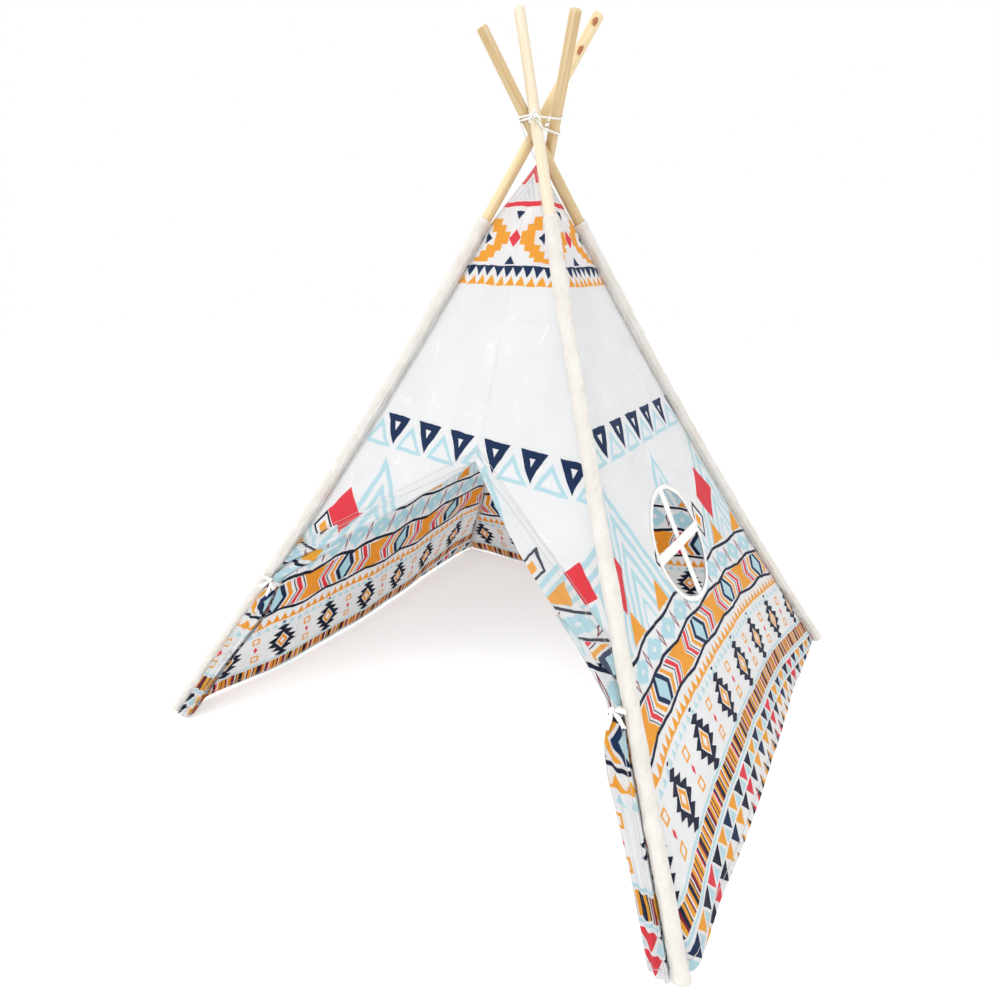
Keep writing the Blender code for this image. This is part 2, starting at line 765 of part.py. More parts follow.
def least_gap(route, skip):
    """The smallest space between stretches of the cord that aren't neighbours."""
    closest = math.inf
    fine = []
    for first, second in zip(route, route[1:]):
        fine += [first.lerp(second, step / GAP_STEPS) for step in range(GAP_STEPS)]
    for here in range(len(fine)):
        for there in range(here + skip * GAP_STEPS, len(fine)):
            closest = min(closest, (fine[here] - fine[there]).length)
    return closest - CORD_DIAMETER


def lashing():
    route = cord_route()
    upright, out = knot_frame(route)
    stub = out * CORD_DIAMETER
    full = [route[0] + stub] + route + [route[-1] + stub]
    add_part(tube_curve("lashing_cord", full, CORD_RADIUS, CORD_RESOLUTION), WHITE_COTTON)
    print(f"least gap of the lashing cord to itself: {least_gap(route, POINTS_PER_TURN // 3):.5f} m")
    block = bmesh.new()
    bmesh.ops.create_cube(block, size=1)
    mesh = bpy.data.meshes.new("lashing_knot")
    block.to_mesh(mesh)
    block.free()
    mesh.transform(Matrix.Diagonal((KNOT_WIDTH, KNOT_HEIGHT, KNOT_DEPTH, 1)))
    knot = bpy.data.objects.new("lashing_knot", mesh)
    middle = (route[0] + route[-1]) / 2 + out * (CORD_DIAMETER + CLEARANCE + KNOT_DEPTH / 2)
    place_along(knot, middle, out, upright.cross(out))
    rounding = knot.modifiers.new("rounding", "BEVEL")
    rounding.width = KNOT_ROUNDING
    rounding.segments = 2
    add_part(knot, WHITE_COTTON)
    return route


def apex_tape(route):
    """A flat tape from the cover's apex to just under the lashing."""
    turn = (TAPE_SIDE - KNOT_SIDE) % (2 * math.pi)
    strand = route[round(turn / (2 * math.pi) * POINTS_PER_TURN)]
    hang = strand - UP * (CORD_RADIUS + CLEARANCE)
    out = Vector((math.cos(TAPE_SIDE), math.sin(TAPE_SIDE), 0))
    foot = Vector((CENTRE.x, CENTRE.y, APEX_HEIGHT + CLOTH_THICKNESS / 2 + CLEARANCE))
    across = Vector((-out.y, out.x, 0)) * (TAPE_WIDTH / 2)
    middle = foot.lerp(hang, 0.5) + out * TAPE_WIDTH
    points = []
    for place in (foot, middle, hang):
        points += [place - across, place + across]
    tape = mesh_object("apex_tape", points, grid_faces(2, 3))
    solidify(tape, TAPE_THICKNESS)
    return add_part(tape, WHITE_COTTON)


apex_tape(lashing())
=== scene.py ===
# %% [markdown]
# # A kids' teepee, piece by piece
# A child's teepee is four thin wooden poles pushed into canvas sleeves, with printed cotton sewn between
# the sleeves and a cord lashed round the place where the poles cross. The door is a slit whose two halves
# are gathered and tied back to the front poles.
# The solids with the real sizes come first and stay where they are. Everything below puts cloth, wood and
# cord around them, in the same metres, with +Z up and the door towards -Y.

# %% Load the solids
import math

import bpy
import numpy as np
from mathutils import Matrix, Vector, noise


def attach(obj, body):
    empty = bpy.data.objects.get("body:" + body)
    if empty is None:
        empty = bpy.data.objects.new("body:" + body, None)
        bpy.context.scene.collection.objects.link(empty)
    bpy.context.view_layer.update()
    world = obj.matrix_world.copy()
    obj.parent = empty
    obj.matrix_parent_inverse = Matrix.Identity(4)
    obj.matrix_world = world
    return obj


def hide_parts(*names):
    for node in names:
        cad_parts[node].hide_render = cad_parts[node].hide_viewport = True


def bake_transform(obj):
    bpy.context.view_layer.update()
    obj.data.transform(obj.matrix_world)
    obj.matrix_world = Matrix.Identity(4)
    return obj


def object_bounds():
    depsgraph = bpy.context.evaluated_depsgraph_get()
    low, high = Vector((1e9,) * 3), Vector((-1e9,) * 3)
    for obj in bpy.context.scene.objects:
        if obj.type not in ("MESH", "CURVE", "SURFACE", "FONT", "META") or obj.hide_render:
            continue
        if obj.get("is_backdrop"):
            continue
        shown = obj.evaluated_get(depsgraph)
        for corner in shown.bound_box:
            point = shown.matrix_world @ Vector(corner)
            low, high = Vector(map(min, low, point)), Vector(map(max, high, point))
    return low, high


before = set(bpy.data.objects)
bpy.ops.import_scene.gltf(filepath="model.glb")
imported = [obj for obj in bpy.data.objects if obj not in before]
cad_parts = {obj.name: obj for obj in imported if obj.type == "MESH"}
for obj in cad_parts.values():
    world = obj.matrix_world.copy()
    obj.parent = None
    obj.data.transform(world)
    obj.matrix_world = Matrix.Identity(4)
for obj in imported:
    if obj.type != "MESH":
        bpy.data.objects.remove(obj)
solid_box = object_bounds()
print("solids from", tuple(round(x, 3) for x in solid_box[0]), "to", tuple(round(x, 3) for x in solid_box[1]))

# %% [markdown]
# ## The poles' centre lines
# Every piece hangs on the poles, so their lines come first. Each pole runs from its foot to the crossing,
# and the tight cover pulls its middle a little inwards. A parabola is enough for that shallow bow, and it
# gives the place at any height with one short sum. These are the sizes of the solids.

# %% Sizes of the poles
FOOT_SPACING = 1.200
CROSSING_HEIGHT = 1.290
CROSSING_LEAN = 0.048         # how far the crossing stands in front of the middle
POLE_LENGTH = 1.727
POLE_RADIUS = 0.011
POLE_BOW = 0.022
SLEEVE_RADIUS = 0.0146
SLEEVE_CUP = 0.0025           # the cloth under a pole's end
SLEEVE_TOP_HEIGHT = 1.084
FOOT_FLAT = 0.0015            # how much the cloth is flattened on the floor
PASSING_SHARES = {            # where each pole passes the crossing, in pole diameters
    "front_left": (-0.39, 1.63),
    "front_right": (-0.31, -0.88),
    "back_right": (-1.50, -1.07),
    "back_left": (1.55, 0.20),
}
CORNER_SHARES = {
    "front_left": (-1, -1),
    "front_right": (1, -1),
    "back_right": (1, 1),
    "back_left": (-1, 1),
}
UP = Vector((0, 0, 1))


# %% One pole's line
class Pole:
    """The centre line of one pole, measured by distance from its foot."""

    def __init__(self, name):
        corner = CORNER_SHARES[name]
        passing = [share * 2 * POLE_RADIUS for share in PASSING_SHARES[name]]
        self.name = name
        self.crossing = Vector((passing[0], passing[1] - CROSSING_LEAN, CROSSING_HEIGHT))
        flat_foot = Vector((corner[0] * FOOT_SPACING / 2, corner[1] * FOOT_SPACING / 2, 0))
        lean = (self.crossing - flat_foot).normalized()
        level = math.hypot(lean.x, lean.y)
        self.foot = flat_foot + UP * (SLEEVE_RADIUS * level - FOOT_FLAT + SLEEVE_CUP * lean.z)
        chord = self.crossing - self.foot
        self.reach = chord.length
        self.along = chord.normalized()
        towards_axis = Vector((-corner[0], -corner[1], 0)).normalized()
        self.inward = (towards_axis - towards_axis.project(self.along)).normalized()
        self.sideways = self.along.cross(self.inward)
        self.end_slope = (self.along - self.inward * (4 * POLE_BOW / self.reach)).normalized()

    def at(self, distance):
        share = distance / self.reach
        if share > 1:
            return self.crossing + self.end_slope * (distance - self.reach)
        return self.foot + self.along * distance + self.inward * (4 * POLE_BOW * share * (1 - share))

    def distance_at(self, height):
        distance = (height - self.foot.z) / self.along.z
        for _ in range(5):
            distance += (height - self.at(distance).z) / self.along.z
        return distance


POLES = {name: Pole(name) for name in CORNER_SHARES}
CENTRE = sum((pole.crossing for pole in POLES.values()), Vector()) / len(POLES)
for pole in POLES.values():
    print(f"{pole.name}: foot at {pole.foot.x:.3f}, {pole.foot.y:.3f}, {pole.reach:.3f} m to the crossing")

# %% [markdown]
# ## The camera
# The camera comes early, because the first question at each step is how the piece looks from there. It
# stands a little above the door's lintel, in front and to the right, and leans by about one degree.

# %% Camera
CAMERA_PLACE = Vector((0.7488, -1.3856, 1.0091))
CAMERA_AZIMUTH = math.radians(31.60)
CAMERA_ELEVATION = math.radians(18.99)
CAMERA_ROLL = math.radians(1.31)
SENSOR = 36.0
FOCAL_SHARE = 0.699           # focal length as a share of the picture's width


def camera_matrix():
    level = math.cos(CAMERA_ELEVATION)
    back = Vector((
        math.sin(CAMERA_AZIMUTH) * level,
        -math.cos(CAMERA_AZIMUTH) * level,
        math.sin(CAMERA_ELEVATION),
    ))
    right = UP.cross(back).normalized()
    above = back.cross(right)
    rolled_right = right * math.cos(CAMERA_ROLL) + above * math.sin(CAMERA_ROLL)
    rolled_above = above * math.cos(CAMERA_ROLL) - right * math.sin(CAMERA_ROLL)
    turn = Matrix((rolled_right, rolled_above, back)).transposed().to_4x4()
    return Matrix.Translation(CAMERA_PLACE) @ turn


lens = bpy.data.cameras.new("camera")
lens.sensor_width = SENSOR
lens.lens = SENSOR * FOCAL_SHARE
lens.clip_start = 0.05
camera = bpy.data.objects.new("camera", lens)
camera.matrix_world = camera_matrix()
bpy.context.scene.collection.objects.link(camera)
bpy.context.scene.camera = camera
print(f"lens {lens.lens:.1f} mm")

# %% [markdown]
# ## Small helpers for meshes
# Cloth is thin, but a single skin has no edge and no inside. So each cloth piece starts as a grid of
# points and becomes a closed shell: the grid moved out by half the cloth's thickness, the same grid moved
# in, and a rim between them. The normals of the whole grid are kept, so a sheet that is cut down its
# middle still shades as one.


# %% Normals and shells
def grid_normals(points):
    """Unit normals of a grid whose rows run to the right and climb, by the slopes along both."""
    climb = np.gradient(points, axis=0)
    across = np.gradient(points, axis=1)
    normals = np.cross(across, climb)
    return normals / np.maximum(np.linalg.norm(normals, axis=2, keepdims=True), 1e-12)


def new_piece(name, points, faces, maps=None, normals=None):
    """A smooth-shaded mesh object. maps holds one (u, v) for each point, under each map's name."""
    mesh = bpy.data.meshes.new(name)
    mesh.from_pydata([tuple(p) for p in points], [], faces)
    corners = np.zeros(len(mesh.loops), int)
    mesh.loops.foreach_get("vertex_index", corners)
    for title, values in (maps or {}).items():
        layer = mesh.uv_layers.new(name=title)
        layer.uv.foreach_set("vector", np.asarray(values, np.float32)[corners].ravel())
    mesh.shade_smooth()
    if normals is not None:
        mesh.normals_split_custom_set_from_vertices([tuple(n) for n in normals])
    obj = bpy.data.objects.new(name, mesh)
    bpy.context.scene.collection.objects.link(obj)
    return obj


def corners_used(keep):
    """The grid points that the kept cells touch. keep says which cells are cloth."""
    rows, columns = keep.shape
    used = np.zeros((rows + 1, columns + 1), bool)
    for down in (0, 1):
        for right in (0, 1):
            used[down:rows + down, right:columns + right] |= keep
    return used


def shell(name, points, thickness, maps, keep=None, normals=None):
    """A closed thin shell from a grid. keep says which cells of the grid are cloth."""
    rows, columns = points.shape[:2]
    normals = grid_normals(points) if normals is None else normals
    keep = np.ones((rows - 1, columns - 1), bool) if keep is None else keep
    used = corners_used(keep)
    count = int(used.sum())
    index = -np.ones((rows, columns), int)
    index[used] = np.arange(count)
    face = points[used] + normals[used] * (thickness / 2)
    back = points[used] - normals[used] * (thickness / 2)
    faces = []
    padded = np.zeros((rows + 1, columns + 1), bool)
    padded[1:-1, 1:-1] = keep
    for row, column in zip(*np.nonzero(keep)):
        a, b = index[row, column], index[row, column + 1]
        d, c = index[row + 1, column], index[row + 1, column + 1]
        faces.append((a, b, c, d))
        faces.append((a + count, d + count, c + count, b + count))
        rims = (
            (padded[row, column + 1], a, b),
            (padded[row + 2, column + 1], c, d),
            (padded[row + 1, column], d, a),
            (padded[row + 1, column + 2], b, c),
        )
        for neighbour, first, second in rims:
            if not neighbour:
                faces.append((second, first, first + count, second + count))
    both = np.concatenate([face, back])
    doubled = {title: np.concatenate([values[used], values[used]]) for title, values in maps.items()}
    outward = np.concatenate([normals[used], -normals[used]])
    return new_piece(name, both, faces, doubled, outward)


def sweep(name, rings, maps=None):
    """A closed skin over a list of rings, each with the same number of points, and a fan at both ends."""
    count = len(rings[0])
    points = [p for ring in rings for p in ring]
    faces = []
    for row in range(len(rings) - 1):
        for step in range(count):
            here, beside = row * count + step, row * count + (step + 1) % count
            faces.append((here, beside, beside + count, here + count))
    first, last = len(points), len(points) + 1
    points += [sum(rings[0], Vector()) / count, sum(rings[-1], Vector()) / count]
    end = (len(rings) - 1) * count
    for step in range(count):
        faces.append((first, (step + 1) % count, step))
        faces.append((last, end + step, end + (step + 1) % count))
    if maps:
        maps = {title: list(values) + [values[0], values[-1]] for title, values in maps.items()}
    return new_piece(name, points, faces, maps)


def smooth_step(value, low, high):
    """0 below low, 1 above high, and a soft climb between."""
    t = np.clip((np.asarray(value, float) - low) / (high - low), 0, 1)
    return t * t * (3 - 2 * t)


def soft_noise(x, y, seed):
    """Smooth noise between about -1 and 1, the same on each run."""
    return noise.noise(Vector((x, y, seed)))


# %% [markdown]
# ## Small helpers for materials
# A material is a tree of nodes. One function adds a node, sets its properties and fills its inputs with
# numbers or with other nodes' outputs. Colours are written as sRGB hex, as a paint chart gives them, and
# turned to the linear values that Blender works in.


# %% Colours and nodes
def linear(hex_colour):
    """The linear RGBA of a colour such as "#F9B13A"."""
    channels = [int(hex_colour[i:i + 2], 16) / 255 for i in (1, 3, 5)]
    channels = [c / 12.92 if c <= 0.04045 else ((c + 0.055) / 1.055) ** 2.4 for c in channels]
    return (*channels, 1.0)


def add_node(tree, kind, inputs=None, **settings):
    """Adds a node and returns its first output.

    inputs maps a socket's name or number to a value or to another node's output.
    """
    node = tree.nodes.new("ShaderNode" + kind)
    for key, value in settings.items():
        setattr(node, key, value)
    sockets = [socket for socket in node.inputs if socket.enabled]
    for key, value in (inputs or {}).items():
        socket = sockets[key] if isinstance(key, int) else next(s for s in sockets if s.name == key)
        if isinstance(value, bpy.types.NodeSocket):
            tree.links.new(value, socket)
        else:
            socket.default_value = value
    return next((socket for socket in node.outputs if socket.enabled), None)


def new_material(name):
    """An empty material and its tree. The shader is linked to its output by surface_of."""
    made = bpy.data.materials.new(name)
    made.use_nodes = True
    made.node_tree.nodes.clear()
    return made, made.node_tree


def surface_of(tree, shader):
    add_node(tree, "OutputMaterial", {"Surface": shader})


def colour_steps(tree, value, stops):
    """A colour ramp with hard steps: each stop is a place from 0 to 1 and a hex colour."""
    output = add_node(tree, "ValToRGB", {0: value})
    ramp = output.node.color_ramp
    ramp.interpolation = "CONSTANT"
    ramp.elements[0].position = stops[0][0]
    ramp.elements[0].color = linear(stops[0][1])
    ramp.elements[1].position = stops[1][0]
    ramp.elements[1].color = linear(stops[1][1])
    for place, colour in stops[2:]:
        ramp.elements.new(place).color = linear(colour)
    return output


# %% [markdown]
# ## The print's motifs
# The cloth is printed in bands: rows of triangles, lozenges, zigzags and stripes, as on many woven
# blankets. A photograph of the cloth would blur up close and show one fixed piece of cloth. So each motif
# is a few sums on two numbers, how far across the panel a point is and how high, both in metres. A motif
# answers 1 inside its shape and 0 outside.


# %% Motifs
def spaced(tree, across, pitch, offset=0.0):
    """The distance to the nearest of a row of places, one every pitch."""
    moved = add_node(tree, "Math", {0: across, 1: offset}, operation="SUBTRACT")
    return add_node(tree, "Math", {0: moved, 1: pitch / 2}, operation="PINGPONG")


def band(tree, height, low, high):
    values = {0: height, 1: (low + high) / 2, 2: (high - low) / 2}
    return add_node(tree, "Math", values, operation="COMPARE")


def both(tree, first, second):
    return add_node(tree, "Math", {0: first, 1: second}, operation="MULTIPLY")


def without(tree, first, second):
    """What is in the first shape and not in the second."""
    rest = add_node(tree, "Math", {0: 1.0, 1: second}, operation="SUBTRACT")
    return both(tree, first, rest)


def triangles(tree, side, height, half_base, base, tip):
    """Triangles in a row, from a base at one height to a tip at another. side is from spaced."""
    slope = (tip - base) / half_base
    edge = add_node(tree, "Math", {0: side, 1: slope, 2: height}, operation="MULTIPLY_ADD")
    if tip > base:
        inside = add_node(tree, "Math", {0: edge, 1: tip}, operation="LESS_THAN")
    else:
        inside = add_node(tree, "Math", {0: edge, 1: tip}, operation="GREATER_THAN")
    return both(tree, inside, band(tree, height, min(base, tip), max(base, tip)))


def outlined_triangles(tree, side, height, half_base, base, tip, line):
    """A triangle with a smaller one cut out of it, which leaves a thick outline."""
    outer = triangles(tree, side, height, half_base, base, tip)
    rise = math.copysign(line, tip - base)
    inner = triangles(tree, side, height, half_base - 1.9 * line, base + rise, tip - 2.2 * rise)
    return without(tree, outer, inner)


def away_from(tree, height, middle):
    gap = add_node(tree, "Math", {0: height, 1: middle}, operation="SUBTRACT")
    return add_node(tree, "Math", {0: gap}, operation="ABSOLUTE")


def lozenges(tree, side, rise, half_wide, half_tall):
    """Diamonds. side is from spaced and rise from away_from."""
    scaled = add_node(tree, "Math", {0: rise, 1: half_wide / half_tall, 2: side}, operation="MULTIPLY_ADD")
    return add_node(tree, "Math", {0: scaled, 1: half_wide}, operation="LESS_THAN")


def spiky_lozenges(tree, side, rise, half_wide, half_tall, tooth):
    """Diamonds whose sides end in points, as woven ones do, one point every tooth."""
    saw = add_node(tree, "Math", {0: rise, 1: tooth / 2}, operation="PINGPONG")
    drawn = add_node(tree, "Math", {0: saw, 1: -2.3, 2: side}, operation="MULTIPLY_ADD")
    return lozenges(tree, drawn, rise, half_wide, half_tall)


def stepped(tree, value, step):
    return add_node(tree, "Math", {0: value, 1: step}, operation="SNAP")


def zigzag_line(tree, across, height, middle, pitch, swing, thickness):
    """A line that runs up and down by swing about a height."""
    wave = add_node(tree, "Math", {0: across, 1: pitch / 2}, operation="PINGPONG")
    values = {0: wave, 1: 4 * swing / pitch, 2: middle - swing}
    line = add_node(tree, "Math", values, operation="MULTIPLY_ADD")
    return add_node(tree, "Math", {0: height, 1: line, 2: thickness / 2}, operation="COMPARE")


def painted(tree, ground, mask, colour):
    """The ground with a colour laid over it where the mask is 1."""
    ink = linear(colour) if isinstance(colour, str) else colour
    return add_node(tree, "Mix", {"Factor": mask, "A": ground, "B": ink}, data_type="RGBA")


# %% [markdown]
# ## The printed cotton
# Reactive inks soak into the thread, so a printed cotton keeps the cloth's own matt look, and a colour's
# edge is as sharp as the thread allows. The bands run round the whole teepee at the same heights. From the
# top they are a red chevron and stripe, a stepped cross round a red diamond, two rows of small triangles,
# a plain field, outlined triangles, tall nested peaks, three zigzag lines with lozenges and chevrons
# between them, stepped diamonds, thin stripes and two rows of triangles along the hem.

# %% Inks
COTTON = "#F7F8F9"
NAVY = "#183765"
DARK_NAVY = "#1B2445"
ORANGE = "#F9BD45"
RED = "#F04B59"
MAROON = "#9A2A45"
PALE_BLUE = "#CFEBF2"
PALE_GREY = "#E3EAEF"


# %% The crown: everything above the plain field
CROWN_TOP = 1.200             # above the cloth's tip, so a band that ends here has no upper edge
CHEVRON_SLOPE = 1.45
CROWN_STRIPE = (1.109, 1.118)
CROSS_HEIGHT = 1.050          # the middle of the stepped cross
CROSS_STEP = 0.0125
SMALL_PITCH = 0.026           # the two rows of small triangles


def crown_print(tree, cloth, across, height):
    middle = add_node(tree, "Math", {0: across}, operation="ABSOLUTE")
    peak = add_node(tree, "Math", {0: middle, 1: CHEVRON_SLOPE, 2: height}, operation="MULTIPLY_ADD")
    top_line = both(tree, band(tree, peak, 1.174, 1.190), band(tree, height, 1.152, CROWN_TOP))
    cloth = painted(tree, cloth, top_line, RED)
    above = band(tree, height, 1.121, CROWN_TOP)
    for low, high in ((1.156, 1.166), (1.136, 1.147), (1.0, 1.128)):
        cloth = painted(tree, cloth, both(tree, band(tree, peak, low, high), above), PALE_GREY)
    cloth = painted(tree, cloth, band(tree, height, *CROWN_STRIPE), RED)
    rise = away_from(tree, height, CROSS_HEIGHT)
    steps = stepped(tree, rise, CROSS_STEP)
    slanted = add_node(tree, "Math", {0: steps, 1: 1.25, 2: 0.036}, operation="MULTIPLY_ADD")
    arm = add_node(tree, "Math", {0: middle, 1: slanted, 2: 0.0200}, operation="COMPARE")
    cloth = painted(tree, cloth, both(tree, arm, band(tree, height, 1.004, 1.088)), ORANGE)
    cloth = painted(tree, cloth, lozenges(tree, middle, rise, 0.0155, 0.0165), RED)
    point = add_node(tree, "Math", {0: rise, 1: 1.5, 2: 0.064}, operation="MULTIPLY_ADD")
    beyond = add_node(tree, "Math", {0: middle, 1: point}, operation="GREATER_THAN")
    cloth = painted(tree, cloth, both(tree, beyond, band(tree, middle, 0.0, 0.082)), NAVY)
    for half_base, base, tip in ((0.013, 1.100, 1.084), (0.014, 1.000, 1.016)):
        cloth = painted(tree, cloth, triangles(tree, middle, height, half_base, base, tip), NAVY)
    row = spaced(tree, across, SMALL_PITCH)
    cloth = painted(tree, cloth, triangles(tree, row, height, 0.0126, 0.9950, 0.9765), NAVY)
    cloth = painted(tree, cloth, band(tree, height, 0.9940, 0.9970), NAVY)
    other_row = spaced(tree, across, SMALL_PITCH, SMALL_PITCH / 2)
    return painted(tree, cloth, triangles(tree, other_row, height, 0.0124, 0.9610, 0.9800), ORANGE)


# %% The field: outlined triangles, nested peaks and diamonds
TRIANGLE_PITCH = 0.086
PEAK_PITCH = 0.262
PEAK_OFFSET = 0.070
PEAK_SLOPE = 1.85
PEAK_NESTING = 0.024          # half of the step from one nested line to the next, up the slope
BADGE_PITCH = 0.560
BADGE_OFFSET = 0.286
BADGE_HEIGHT = 0.503
DIAMOND_HEIGHT = 0.462


def field_print(tree, cloth, across, height):
    row = spaced(tree, across, TRIANGLE_PITCH)
    dark = outlined_triangles(tree, row, height, 0.031, 0.718, 0.662, 0.0125)
    cloth = painted(tree, cloth, dark, NAVY)
    other_row = spaced(tree, across, TRIANGLE_PITCH, TRIANGLE_PITCH / 2)
    pale = outlined_triangles(tree, other_row, height, 0.036, 0.655, 0.706, 0.0070)
    cloth = painted(tree, cloth, pale, PALE_BLUE)
    column = spaced(tree, across, PEAK_PITCH, PEAK_OFFSET)
    peak = add_node(tree, "Math", {0: column, 1: PEAK_SLOPE, 2: height}, operation="MULTIPLY_ADD")
    nested = add_node(tree, "Math", {0: peak, 1: PEAK_NESTING}, operation="PINGPONG")
    lines = add_node(tree, "Math", {0: nested, 1: 0.0115}, operation="LESS_THAN")
    inside = both(tree, band(tree, peak, 0.43, 0.636), band(tree, height, 0.395, 0.64))
    cloth = painted(tree, cloth, both(tree, lines, inside), PALE_BLUE)
    badge = spaced(tree, across, BADGE_PITCH, BADGE_OFFSET)
    rise = away_from(tree, height, BADGE_HEIGHT)
    cloth = painted(tree, cloth, lozenges(tree, badge, rise, 0.048, 0.058), RED)
    gap = spaced(tree, across, PEAK_PITCH, PEAK_OFFSET + PEAK_PITCH / 2)
    rise = away_from(tree, height, DIAMOND_HEIGHT)
    outer = lozenges(tree, gap, rise, 0.030, 0.040)
    edge = without(tree, outer, lozenges(tree, gap, rise, 0.0235, 0.0315))
    cloth = painted(tree, cloth, edge, DARK_NAVY)
    cloth = painted(tree, cloth, lozenges(tree, gap, rise, 0.0125, 0.0170), ORANGE)
    teeth = spaced(tree, across, PEAK_PITCH / 2, 0.004)
    return painted(tree, cloth, triangles(tree, teeth, height, 0.030, 0.397, 0.446), ORANGE)


# %% The belt: zigzag lines with lozenges and chevrons between them
LOZENGE_PITCH = 0.078
LOZENGE_HEIGHT = 0.362
CHEVRON_PITCH = 0.226
CHEVRON_OFFSET = 0.055
CHEVRON_BAND = (0.276, 0.331)
CHEVRON_HEIGHT = 0.303        # the height of the chevrons' points
CHEVRON_LEAN = -0.75
ZIGZAG_HEIGHTS = (0.389, 0.335, 0.271)
ZIGZAG_PITCH = 0.150
ZIGZAG_SWING = 0.0035
ZIGZAG_THICKNESS = 0.0062
TOOTH_PITCH = 0.0235


def belt_print(tree, cloth, across, height):
    step = spaced(tree, across, LOZENGE_PITCH)
    rise = away_from(tree, height, LOZENGE_HEIGHT)
    coarse_side = stepped(tree, step, 0.0055)
    coarse_rise = stepped(tree, rise, 0.0045)
    cloth = painted(tree, cloth, lozenges(tree, coarse_side, coarse_rise, 0.029, 0.021), PALE_BLUE)
    cloth = painted(tree, cloth, lozenges(tree, step, rise, 0.0075, 0.0065), COTTON)
    between = spaced(tree, across, LOZENGE_PITCH, LOZENGE_PITCH / 2)
    slim = lozenges(tree, between, rise, 0.0065, 0.022)
    slim = without(tree, slim, lozenges(tree, between, rise, 0.003, 0.013))
    cloth = painted(tree, cloth, slim, MAROON)
    turn = spaced(tree, across, CHEVRON_PITCH, CHEVRON_OFFSET)
    rise = away_from(tree, height, CHEVRON_HEIGHT)
    lean = add_node(tree, "Math", {0: rise, 1: CHEVRON_LEAN, 2: turn}, operation="MULTIPLY_ADD")
    place = add_node(tree, "Math", {0: lean, 1: 7.0, 2: 0.15}, operation="MULTIPLY_ADD")
    chevrons = colour_steps(tree, place, [
        (0.0, ORANGE), (0.265, COTTON), (0.290, DARK_NAVY), (0.312, COTTON), (0.355, RED), (0.440, COTTON),
        (0.475, DARK_NAVY), (0.500, COTTON), (0.570, ORANGE), (0.655, COTTON), (0.700, NAVY),
        (0.790, PALE_BLUE),
    ])
    cloth = painted(tree, cloth, band(tree, height, *CHEVRON_BAND), chevrons)
    for middle in ZIGZAG_HEIGHTS:
        line = zigzag_line(tree, across, height, middle, ZIGZAG_PITCH, ZIGZAG_SWING, ZIGZAG_THICKNESS)
        cloth = painted(tree, cloth, line, DARK_NAVY)
    small = spaced(tree, across, TOOTH_PITCH)
    cloth = painted(tree, cloth, triangles(tree, small, height, 0.0095, 0.2440, 0.2610), ORANGE)
    cloth = painted(tree, cloth, band(tree, height, 0.2405, 0.2440), ORANGE)
    pale = triangles(tree, small, height, 0.0085, 0.2220, 0.2360)
    return painted(tree, cloth, pale, PALE_BLUE)


# %% The border: stepped diamonds, stripes and the hem's triangles
STAR_PITCH = 0.148
STAR_OFFSET = 0.055
STAR_HEIGHT = 0.176
SQUARE_GAP = 0.026            # from the stars' middle line to the small squares above and below it
STRIPE_REPEAT = 0.135
STRIPE_BAND = (0.092, 0.122)
RULE_HEIGHTS = (0.1275, 0.0865)
HEM_PITCH = 0.042
INK_REPEAT = 6 * HEM_PITCH


